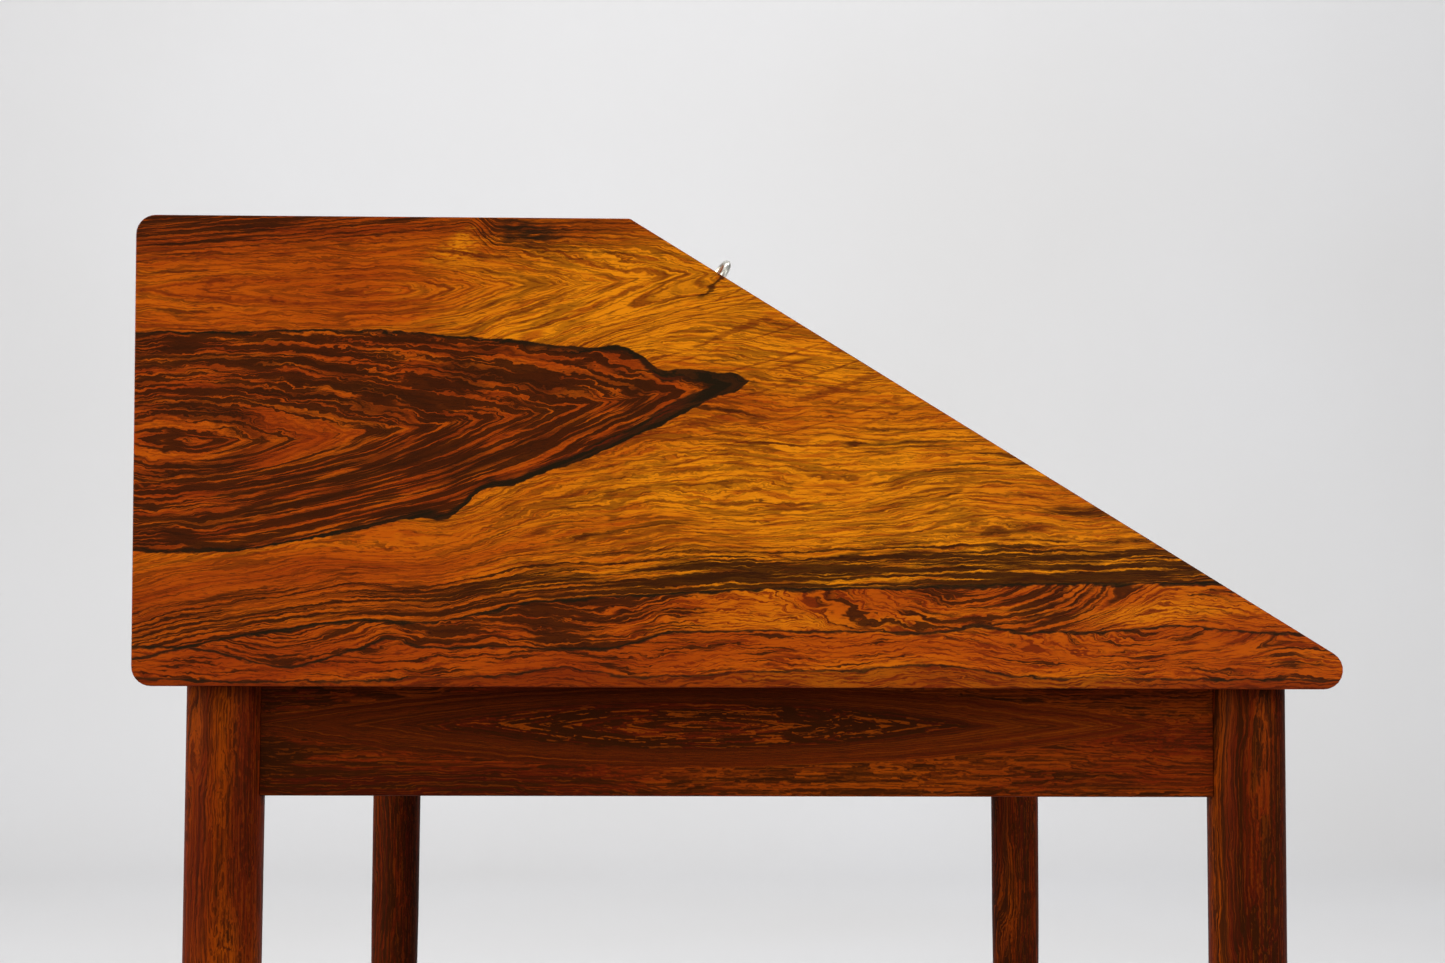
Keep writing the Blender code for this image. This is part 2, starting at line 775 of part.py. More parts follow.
def brace_outline():
    """Plan of the back right corner brace, cut at 45 degrees at both faces."""
    inner_x = APRON_OUT_X - APRON_THICKNESS - GAP
    inner_y = APRON_OUT_Y - APRON_THICKNESS - GAP
    return [
        (inner_x, inner_y - BRACE_FAR),
        (inner_x, inner_y - BRACE_NEAR),
        (inner_x - BRACE_NEAR, inner_y),
        (inner_x - BRACE_FAR, inner_y),
    ]


def corner_braces(wood):
    """Four diagonal blocks that tie the aprons together behind the legs."""
    for name, x, y in corners():
        shape = bmesh.new()
        plan = [(x * a, y * b) for a, b in brace_outline()]
        low = [shape.verts.new((a, b, APRON_TOP - BRACE_HEIGHT)) for a, b in plan]
        high = [shape.verts.new((a, b, APRON_TOP)) for a, b in plan]
        shape.faces.new(low)
        shape.faces.new(high)
        for i, _ in enumerate(plan):
            j = (i + 1) % len(plan)
            shape.faces.new((low[i], low[j], high[j], high[i]))
        finish(f"corner_brace_{name}", shape, wood)


def foot_glides(nylon):
    profile = [
        (GLIDE_RADIUS - GLIDE_CHAMFER, 0),
        (GLIDE_RADIUS, GLIDE_CHAMFER_HEIGHT),
        (GLIDE_RADIUS, GLIDE_HEIGHT),
    ]
    drop = CASE_UNDERSIDE * LEG_SPLAY
    for name, x, y in corners():
        place = Matrix.Translation((x * LEG_X, y * (LEG_Y + drop), 0))
        turned(f"foot_glide_{name}", profile, ROUND_SIDES, [place], nylon)


def loper_guides(wood):
    """Channels under the case, open at both ends and above, that hold the lopers."""
    half = LOPER_WIDTH / 2 + LOPER_CLEARANCE
    reach = APRON_OUT_Y - APRON_THICKNESS - GAP
    low = LOPER_BOTTOM - LOPER_CLEARANCE
    for word, side in (("left", -1), ("right", 1)):
        middle = side * LOPER_X
        guide = box(
            f"loper_guide_{word}",
            (middle - half - GUIDE_WALL, -reach, low - GUIDE_FLOOR),
            (middle + half + GUIDE_WALL, reach, APRON_TOP),
            wood,
        )
        channel = box(
            f"loper_channel_{word}",
            (middle - half, -HALF_DEPTH, low),
            (middle + half, HALF_DEPTH, CASE_UNDERSIDE + BOARD),
            None,
        )
        boolean(guide, as_tool(channel))


def lopers(wood):
    """Two pull-out bars with a turned knob on the front end of each."""
    for word, side in (("left", -1), ("right", 1)):
        front = -APRON_OUT_Y
        slide = empty(f"loper_{word}_slide", (side * LOPER_X, front, LOPER_TOP))
        box(
            f"loper_{word}",
            (-LOPER_WIDTH / 2, 0, -LOPER_HEIGHT),
            (LOPER_WIDTH / 2, LOPER_LENGTH, 0),
            wood,
            LOPER_ARRIS,
            slide,
        )
        turned(
            f"loper_knob_{word}",
            knob_profile(LOPER_KNOB_RADIUS, LOPER_KNOB_LENGTH),
            KNOB_SIDES,
            [along((0, -1, 0), (0, -GAP, -LOPER_HEIGHT / 2))],
            wood,
            slide,
        )


def build():
    clear_scene()
    rosewood = material("rosewood_veneer", (0.36, 0.13, 0.03), 0.35)
    dark_rosewood = material("rosewood_solid", (0.20, 0.05, 0.02), 0.38)
    maple = material("maple", (0.72, 0.52, 0.30), 0.45)
    beech = material("beech", (0.62, 0.42, 0.24), 0.55)
    brass = material("brass", (0.80, 0.60, 0.28), 0.28, 1.0)
    steel = material("steel", (0.55, 0.55, 0.56), 0.35, 1.0)
    nylon = material("nylon", (0.10, 0.08, 0.06), 0.60)

    pivot = empty("flap_pivot", PIVOT, (SLOPE, 0, 0))
    pin_length = PIN_REACH + FLAP_SIDE_CLEARANCE + PIN_SEAT
    bore = rod(PIN_RADIUS + GAP, pin_length + GAP)
    pin_bores = as_tool(turned("side_pin_bores", bore, SMALL_SIDES, pin_places(PIN_REACH), None, pivot))

    side_panel("side_panel_left", -1, rosewood, pin_bores)
    side_panel("side_panel_right", 1, rosewood, pin_bores)
    top_board(rosewood, strike_cutters())
    bottom_board(rosewood)
    back_panel(rosewood)
    flap_stops(beech)
    strike_plate(brass)
    for word, place in zip(("left", "right"), pin_places(PIN_REACH)):
        turned(f"hinge_pin_{word}", rod(PIN_RADIUS, pin_length), SMALL_SIDES, [place], brass, pivot)

    organizer(maple)
    drawer("left", -1, dark_rosewood, beech, brass)
    drawer("right", 1, dark_rosewood, beech, brass)

    flap_board(pivot, rosewood, flap_cutters(pivot))
    lock_body(pivot, brass)
    lock_bolt(pivot, steel)
    escutcheon(pivot, brass)
    key(pivot, brass)

    legs(dark_rosewood)
    aprons(dark_rosewood, leg_sockets())
    corner_braces(beech)
    foot_glides(nylon)
    loper_guides(beech)
    lopers(dark_rosewood)


build()
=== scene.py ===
"""Looks of the slant-front writing desk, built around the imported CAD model."""

import json
import math

import bmesh
import bpy
from mathutils import Matrix, Vector


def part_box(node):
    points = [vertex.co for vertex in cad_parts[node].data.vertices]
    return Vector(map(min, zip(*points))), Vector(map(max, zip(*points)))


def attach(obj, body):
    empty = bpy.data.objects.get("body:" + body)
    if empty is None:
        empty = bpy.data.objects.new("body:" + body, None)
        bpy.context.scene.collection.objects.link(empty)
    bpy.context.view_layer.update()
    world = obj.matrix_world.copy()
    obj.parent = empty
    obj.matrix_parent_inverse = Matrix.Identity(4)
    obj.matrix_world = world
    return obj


MM = 1000.0

# Camera: level with the case, on the desk's left, a little behind its middle
CAMERA_PLACE = Vector((-1.4955, 0.0378, 0.7537))
CAMERA_YAW = math.radians(1.505)
CAMERA_PITCH = math.radians(1.648)
CAMERA_ROLL = math.radians(0.253)
LENS_MM = 59.05
SENSOR_MM = 36.0

# Studio, in metres: a floor, and a wall that bends up behind the desk as the camera sees it
STAGE_HALF_WIDTH = 14.0
STAGE_NEAR = -14.0
STAGE_WALL = 5.2
STAGE_BEND = 1.2
STAGE_BEND_STEPS = 12
STAGE_HEIGHT = 5.0
FLOOR_TONES = ((0.3, (0.50, 0.497, 0.494)), (0.7, (0.53, 0.53, 0.533)))
WALL_TONES = ((0.3, (0.71, 0.705, 0.70)), (0.7, (0.74, 0.74, 0.745)))
FLOOR_TO_WALL = (700, 2300)
WORLD_COLOUR = (0.93, 0.96, 1.0, 1.0)
WORLD_STRENGTH = 0.16

# Area lights: name, place, target, size, power and colour
LIGHTS = (
    ("key_window", (-1.6, 3.0, 1.9), (0, 0, 0.7), (2.4, 2.4), 140, (1.0, 0.97, 0.93)),
    ("front_fill", (-2.6, -2.4, 2.2), (0, 0, 0.7), (2.2, 2.2), 118, (1.0, 1.0, 1.0)),
    ("wall_wash", (1.4, 0.1, 4.4), (4.8, 0.1, 0.2), (6.0, 2.0), 160, (0.98, 0.98, 1.0)),
)

# Rosewood tones, light to dark
GOLD = (0.60, 0.180, 0.002, 1.0)
ORANGE = (0.38, 0.066, 0.001, 1.0)
ORANGE_RUST = (0.30, 0.041, 0.001, 1.0)
RUST = (0.23, 0.027, 0.001, 1.0)
BROWN = (0.100, 0.010, 0.001, 1.0)
DARK = (0.024, 0.0055, 0.0008, 1.0)
BLACK = (0.009, 0.006, 0.002, 1.0)
STAND_LIGHT = (0.23, 0.038, 0.001)
STAND_RED = (0.115, 0.011, 0.001)
STAND_DEEP = (0.040, 0.004, 0.001, 1.0)

# Grounds of the veneer, as stops of a colour ramp
LEAF_TONES = ((0.05, RUST), (0.38, ORANGE), (0.80, GOLD))
STRIP_TONES = ((0.05, RUST), (0.38, ORANGE), (0.75, GOLD))
HEART_TONES = ((0.30, RUST), (0.46, ORANGE_RUST), (0.62, ORANGE))
BANDING_TONES = ((0.36, BROWN), (0.52, RUST), (0.66, ORANGE))
BOARD_TONES = ((0.30, RUST), (0.48, ORANGE), (0.68, GOLD))
STAND_TONES = ((0.28, STAND_DEEP), (0.48, STAND_RED), (0.68, STAND_LIGHT))

# Lacquer: specular level on veneer and on the stand, roughness on the wood and how much more
# over its pores, the clear coat and its roughness, and the depth of a pore in metres
VENEER_GLOSS = 0.045
STAND_GLOSS = 0.015
LACQUER_ROUGHNESS = 0.44
PORE_ROUGHNESS = 0.12
COAT_WEIGHT = 0.01
COAT_ROUGHNESS = 0.22
PORE_DEPTH = 0.00008

# Pale woods inside, light to dark, and where each tone stops
MAPLE_TONES = ((0.68, 0.43, 0.19), (0.59, 0.35, 0.14), (0.46, 0.25, 0.09))
BEECH_TONES = ((0.50, 0.30, 0.14), (0.42, 0.24, 0.10), (0.32, 0.17, 0.07))
PALE_STOPS = (0.30, 0.52, 0.70)

# Metals, as their bright and dull tones and their roughness, and nylon
BRASS = ((0.86, 0.61, 0.27), (0.60, 0.38, 0.14), 0.24)
STEEL = ((0.62, 0.62, 0.63), (0.42, 0.41, 0.40), 0.30)
NICKEL = ((0.84, 0.82, 0.74), (0.62, 0.60, 0.51), 0.24)
NYLON_TONES = ((0.35, (0.020, 0.016, 0.013)), (0.65, (0.045, 0.038, 0.032)))

# Sizes of CAD parts that their boxes don't give, in metres
HALF_BOARD = 0.009
GUIDE_WALL_MIDDLE = 0.007
BRACE_HALF_THICKNESS = 0.0064
STRIKE_HALF_THICKNESS = 0.00075
ESCUTCHEON_RISE = 0.0009

# Finish of the CAD nodes' faces, in metres and radians
ARRIS = 0.0006
ARRIS_SEGMENTS = 3
WELD_DISTANCE = 0.00001
FLAT_ANGLE = math.radians(0.4)
ARRIS_ANGLE = math.radians(28)
HARDWARE_SHARP_ANGLE = math.radians(35)

# Screws and pins, in metres: heads as radius and rise, then their places from the edges and
# middles of what they hold; the lock's are beside the key, and below and above it on the slope
BACK_SCREW = (0.0036, 0.0007)
STAND_SCREW = (0.0038, 0.0008)
LOCK_SCREW = (0.0029, 0.0006)
STRIKE_SCREW = (0.0024, 0.0003)
HEAD_SIDES = 24
HALF_HEAD_STEPS = 12
DOME_SHARES = (0.0, 0.35, 0.65, 0.85, 0.95)
SLOT_SHARE = 0.14
SLOT_TURN_BY_X = 37
SLOT_TURN_BY_Y = 53
BACK_SCREW_MARGIN = 0.011
BACK_SCREW_COLUMNS = 5
GUIDE_SCREW_DEPTHS = (-0.17, 0.0, 0.17)
BRACE_SCREW_REACH = 0.009
LOCK_SCREW_ASIDE = 0.025
LOCK_SCREW_FROM_KEY = (-0.012, 0.027)
STRIKE_SCREW_ASIDE = 0.0192
PIN_ASIDE = 0.0082

# Turned hardware, as (radius, height) pairs in metres
WASHER = ((0.0075, 0), (0.0078, 0.0002), (0.0078, 0.0011), (0.0075, 0.0013))
NUT = ((0.0052, 0.0013), (0.0056, 0.0018), (0.0056, 0.0053), (0.0052, 0.0058))
STUD_ROOT = 0.0026
STUD_CREST = 0.0030
STUD_RIDGES = 4
STUD_PITCH = 0.0007
STUD_RISE = 0.0004
STUD_FALL = 0.0003
STUD_END = (0.0022, 0.0092)
WASHER_SIDES = 32
NUT_SIDES = 6
STUD_SIDES = 20
PIN_SIDES = 16
PIN = ((0.0009, -0.0004), (0.0009, 0.0001), (0.0006, 0.0004), (0.0002, 0.0005))

# Side leaf, in millimetres: from the back edge to the front, and up from the underside.
# An oval is given by its core, the rise of its point, its length and its height.
FLAME_HEIGHT = 51.0
FLAME = ((25.0, 112.0), 30.0, 257.0, FLAME_HEIGHT)
UPPER_OVAL = ((118, 181), 8, 126, 25)

# Eyes in its layers: centre, size, how far the layers part, and how much they close in rings
EYES = (((292, 89), (56, 15), 5.0, 2.2), ((119, 66), (30, 10), 7.0, 2.5))

# Ellipses on it: centre and size
FRONT_GLOW = ((300, 92), (80, 22))
TOP_GLOW = ((210, 181), (110, 20))
FRONT_EYE_CALM = ((292, 89), (60, 16))
BACK_EYE_CALM = ((119, 66), (40, 14))
KNOT = ((180, 211), (17, 5))
SMUDGE = ((436, 82), (17, 4))
UPPER_BOWL = ((385.0, 52.0), (62.0, 22.0))
LOWER_BOWL = ((470.0, 30.0), (52.0, 15.0))

# Gold fan that spreads down from a point beside the knot: place from the back, and top
FAN_PLACE = 152.0
FAN_TOP = 212.0

# Humps of its lines, and of the flame's edge: place, width and height
LINE_1_HUMPS = ((140, 26, -6.0),)
LINE_2_HUMPS = ((390, 12, 3.5), (482, 24, 3.0), (69, 26, -9.0), (117, 12, 4.0))
LINE_3_HUMPS = ((195, 22, 4.5), (366, 34, 6.0), (300, 40, 3.0), (70, 60, -2.5))
EDGE_HUMPS_BELOW = ((145, 10, 5.0), (162, 9, -3.5))
EDGE_HUMPS_ABOVE = ((224, 12, 4.0), (243, 8, -3.5))
EDGE_HUMPS_TIP = ((277, 6, 2.2),)

# More and fewer dark lines along its upper bottom strip: place, width and strength
STRIP_HUMPS = ((200, 55, 0.16), (95, 50, 0.08), (285, 26, -0.14), (478, 18, -0.08))

# Its three boundary lines: half width in millimetres, and strength
BOUNDARY_LINES = ((0.75, 0.90), (0.65, 0.90), (0.5, 0.85))

# Dark oval on the side rails, in millimetres: place along and up, half length and half height,
# then the dark patch below it near their back end: place along, drop below the oval, and size
SIDE_RAIL_FIGURE = (-20.0, 671.0, 105.0, 9.0)
PATCH_ALONG = 222
PATCH_DROP = 14
PATCH_SIZE = (16, 7)


class Value:
    """A shader socket's number, for plain arithmetic."""

    def __init__(self, graph, socket):
        self.graph = graph
        self.socket = socket

    def __add__(self, other):
        return self.graph.math("ADD", self, other)

    def __sub__(self, other):
        return self.graph.math("SUBTRACT", self, other)

    def __rsub__(self, other):
        return self.graph.math("SUBTRACT", other, self)

    def __mul__(self, other):
        return self.graph.math("MULTIPLY", self, other)

    def __truediv__(self, other):
        return self.graph.math("DIVIDE", self, other)

    def __pow__(self, other):
        return self.graph.math("POWER", self, other)

    def __abs__(self):
        return self.graph.math("ABSOLUTE", self)

    def __neg__(self):
        return self.graph.math("MULTIPLY", self, -1.0)

    __radd__ = __add__
    __rmul__ = __mul__


class Graph:
    """One procedural material: its node tree, its Principled shader and short calls for both."""

    def __init__(self, name):
        self.material = bpy.data.materials.new(name)
        self.material.use_nodes = True
        self.tree = self.material.node_tree
        self.tree.nodes.clear()
        output = self.tree.nodes.new("ShaderNodeOutputMaterial")
        self.shader = self.tree.nodes.new("ShaderNodeBsdfPrincipled")
        self.tree.links.new(self.shader.outputs["BSDF"], output.inputs["Surface"])

    def put(self, socket, value):
        """Links a value to a socket, or sets it there where it's a plain number or colour."""
        if isinstance(value, Value):
            value = value.socket
        if isinstance(value, bpy.types.NodeSocket):
            self.tree.links.new(value, socket)
        else:
            socket.default_value = value

    def surface(self, **values):
        """Sets or links the shader's inputs: Base_Color=..., Roughness=..."""
        for name, value in values.items():
            self.put(self.shader.inputs[name.replace("_", " ")], value)

    def math(self, operation, *values):
        """One Math node."""
        node = self.tree.nodes.new("ShaderNodeMath")
        node.operation = operation
        for socket, value in zip(node.inputs, values):
            self.put(socket, value)
        return Value(self, node.outputs[0])

    def smooth(self, value, low, high):
        """Smooth step from 0 at low to 1 at high, or down where high is below low."""
        node = self.tree.nodes.new("ShaderNodeMapRange")
        node.interpolation_type = "SMOOTHSTEP"
        self.put(node.inputs["Value"], value)
        self.put(node.inputs["From Min"], low)
        self.put(node.inputs["From Max"], high)
        return Value(self, node.outputs["Result"])

    def hump(self, value, centre, width):
        """Bell curve: 1 at the centre, a third of that one width away."""
        away = (value - centre) / width
        return self.math("EXPONENT", -(away * away))

    def humps(self, value, rows):
        """Sum of bell curves, each given by its centre, width and height."""
        total = 0.0
        for centre, width, height in rows:
            total = total + self.hump(value, centre, width) * height
        return total

    def patch(self, u, v, centre, size, soft=0.5):
        """Soft-edged ellipse: 1 inside, 0 outside."""
        along = (u - centre[0]) / size[0]
        across = (v - centre[1]) / size[1]
        return self.smooth(along * along + across * across, 1.0 + soft, 1.0 - soft)

    def place(self):
        """Place in the desk's own frame, in millimetres."""
        coordinates = self.tree.nodes.new("ShaderNodeTexCoord")
        split = self.tree.nodes.new("ShaderNodeSeparateXYZ")
        self.tree.links.new(coordinates.outputs["Object"], split.inputs[0])
        return [Value(self, split.outputs[axis]) * MM for axis in "XYZ"]

    def sideways(self):
        """How squarely the surface faces along X: 1 on the case sides, 0 on their edges."""
        coordinates = self.tree.nodes.new("ShaderNodeTexCoord")
        split = self.tree.nodes.new("ShaderNodeSeparateXYZ")
        self.tree.links.new(coordinates.outputs["Normal"], split.inputs[0])
        return abs(Value(self, split.outputs["X"]))

    def noise(self, x, y, z, detail=2.0, roughness=0.5):
        """Smooth noise about 0.5, with features about one unit across."""
        place = self.tree.nodes.new("ShaderNodeCombineXYZ")
        for socket, value in zip(place.inputs, (x, y, z)):
            self.put(socket, value)
        node = self.tree.nodes.new("ShaderNodeTexNoise")
        self.put(node.inputs["Vector"], place.outputs[0])
        node.inputs["Scale"].default_value = 1.0
        node.inputs["Detail"].default_value = detail
        node.inputs["Roughness"].default_value = roughness
        return Value(self, node.outputs["Fac"])

    def blend(self, share, one, two):
        """Goes from number one to number two as the share goes from 0 to 1."""
        return one + (two - one) * share

    def mix(self, share, one, two):
        """Goes from colour one to colour two as the share goes from 0 to 1."""
        node = self.tree.nodes.new("ShaderNodeMix")
        node.data_type = "RGBA"
        sockets = (node.inputs["Factor"], node.inputs[6], node.inputs[7])
        for socket, value in zip(sockets, (share, one, two)):
            self.put(socket, value)
        return node.outputs[2]

    def colours(self, value, stops):
        """Colour ramp over a number, from (place, colour) stops."""
        node = self.tree.nodes.new("ShaderNodeValToRGB")
        ramp = node.color_ramp
        while len(ramp.elements) < len(stops):
            ramp.elements.new(0.5)
        for element, (place, colour) in zip(ramp.elements, stops):
            element.position = place
            element.color = (*colour[:3], 1.0)
        self.put(node.inputs[0], value)
        return node.outputs[0]

    def bump(self, height, distance):
        """Normal tilted by a height between 0 and 1, which stands for the distance in metres."""
        node = self.tree.nodes.new("ShaderNodeBump")
        self.put(node.inputs["Height"], height)
        node.inputs["Distance"].default_value = distance
        return node.outputs["Normal"]


def add_camera():
    """Looks along +X, turned by yaw, pitch and roll, with the desk's front on the right."""
    ahead, right, up = Vector((1, 0, 0)), Vector((0, -1, 0)), Vector((0, 0, 1))
    yawed = math.cos(CAMERA_YAW) * ahead + math.sin(CAMERA_YAW) * right
    side = math.cos(CAMERA_YAW) * right - math.sin(CAMERA_YAW) * ahead
    look = math.cos(CAMERA_PITCH) * yawed + math.sin(CAMERA_PITCH) * up
    lift = math.cos(CAMERA_PITCH) * up - math.sin(CAMERA_PITCH) * yawed
    across = math.cos(CAMERA_ROLL) * side + math.sin(CAMERA_ROLL) * lift
    above = math.cos(CAMERA_ROLL) * lift - math.sin(CAMERA_ROLL) * side
    data = bpy.data.cameras.new("camera")
    data.lens = LENS_MM
    data.sensor_width = SENSOR_MM
    camera = bpy.data.objects.new("camera", data)
    turn = Matrix((across, above, -look)).transposed()
    camera.matrix_world = Matrix.Translation(CAMERA_PLACE) @ turn.to_4x4()
    bpy.context.scene.collection.objects.link(camera)
    bpy.context.scene.camera = camera


def area_light(name, place, target, size, power, colour):
    """A rectangular light at a place, turned to a target."""
    data = bpy.data.lights.new(name, "AREA")
    data.shape = "RECTANGLE"
    data.size, data.size_y = size
    data.energy = power
    data.color = colour
    light = bpy.data.objects.new(name, data)
    light.location = place
    direction = Vector(target) - Vector(place)
    light.rotation_euler = direction.to_track_quat("-Z", "Y").to_euler()
    bpy.context.scene.collection.objects.link(light)


def add_stage():
    """A pale floor with a wall that curves up behind, all one sweep."""
    shape = bmesh.new()
    foot = STAGE_WALL - STAGE_BEND
    section = [(STAGE_NEAR, 0.0), (foot, 0.0)]
    for step in range(1, STAGE_BEND_STEPS + 1):
        turn = math.pi / 2 * step / STAGE_BEND_STEPS
        section.append((foot + STAGE_BEND * math.sin(turn), STAGE_BEND - STAGE_BEND * math.cos(turn)))
    section.append((STAGE_WALL, STAGE_HEIGHT))
    rows = []
    for y in (-STAGE_HALF_WIDTH, STAGE_HALF_WIDTH):
        rows.append([shape.verts.new((x, y, z)) for x, z in section])
    for i in range(len(section) - 1):
        shape.faces.new((rows[0][i], rows[1][i], rows[1][i + 1], rows[0][i + 1]))
    mesh = bpy.data.meshes.new("studio_sweep")
    shape.to_mesh(mesh)
    shape.free()
    mesh.shade_smooth()
    graph = Graph("studio_paper")
    x, y, z = graph.place()
    cloud = graph.noise(x / 1400, y / 1400, z / 1400)
    floor = graph.colours(cloud, FLOOR_TONES)
    wall = graph.colours(cloud, WALL_TONES)
    tone = graph.mix(graph.smooth(x, *FLOOR_TO_WALL), floor, wall)
    graph.surface(Base_Color=tone, Roughness=0.9)
    mesh.materials.append(graph.material)
    sweep = bpy.data.objects.new("studio_sweep", mesh)
    bpy.context.scene.collection.objects.link(sweep)


def add_light():
    """Soft daylight: a dim world and three large area lights."""
    world = bpy.data.worlds.new("studio")
    world.use_nodes = True
    background = world.node_tree.nodes["Background"]
    background.inputs["Color"].default_value = WORLD_COLOUR
    background.inputs["Strength"].default_value = WORLD_STRENGTH
    bpy.context.scene.world = world
    for light in LIGHTS:
        area_light(*light)


def rosewood_surface(graph, colour, pores, gloss=VENEER_GLOSS):
    """Satin lacquer over open grain."""
    graph.surface(Base_Color=colour, Roughness=LACQUER_ROUGHNESS + pores * PORE_ROUGHNESS,
                  Specular_IOR_Level=gloss, Coat_Weight=COAT_WEIGHT,
                  Coat_Roughness=COAT_ROUGHNESS, Normal=graph.bump(-pores, PORE_DEPTH))


def pointed(graph, u, v, core, rise, length, height, tail=400.0):
    """Nested pointed ovals about a core, with their points to the front. Gives which oval a
    place is on (1 for the one of this length and height), and how far across and along it is."""
    ahead = graph.math("MAXIMUM", u - core[0], 0.0) / length
    behind = graph.math("MAXIMUM", core[0] - u, 0.0) / tail
    along = ahead + behind
    across = (v - core[1] - rise * ahead ** 1.35) / height
    aside = abs(across)
    oval = (aside + (aside * aside + 4.0 * along * along) ** 0.5) * 0.5
    return oval, across, along


def parting(graph, u, v, centre, size, strength, swell):
    """Change of a growth field about an eye: the layers part around it by the strength, and
    close in rings inside it by the swell."""
    along = (u - centre[0]) / size[0]
    across = (v - centre[1]) / size[1]
    bell = graph.math("EXPONENT", -(along * along + across * across))
    return bell * (swell - across * strength)


def veined(graph, colour, field, u, seed):
    """Draws thin dark contour lines of a growth field over a colour."""
    vein = graph.noise(field / 3.4, u / 95, seed, 2.0, 0.55)
    fine_vein = graph.noise(field / 1.6, u / 70, seed + 2, 2.0, 0.55)
    vein_lines = graph.smooth(abs(vein - 0.5), 0.034, 0.010) * 0.55
    fine_lines = graph.smooth(abs(fine_vein - 0.52), 0.050, 0.012) * 0.42
    return graph.mix(graph.math("MAXIMUM", vein_lines, fine_lines), colour, DARK)


def bowl_at(u, v, centre, size):
    """How far out a place is in a bowl of rings: 1 on its rim."""
    across = (u - centre[0]) / size[0]
    up = (v - centre[1]) / size[1]
    return (across * across + up * up) ** 0.5


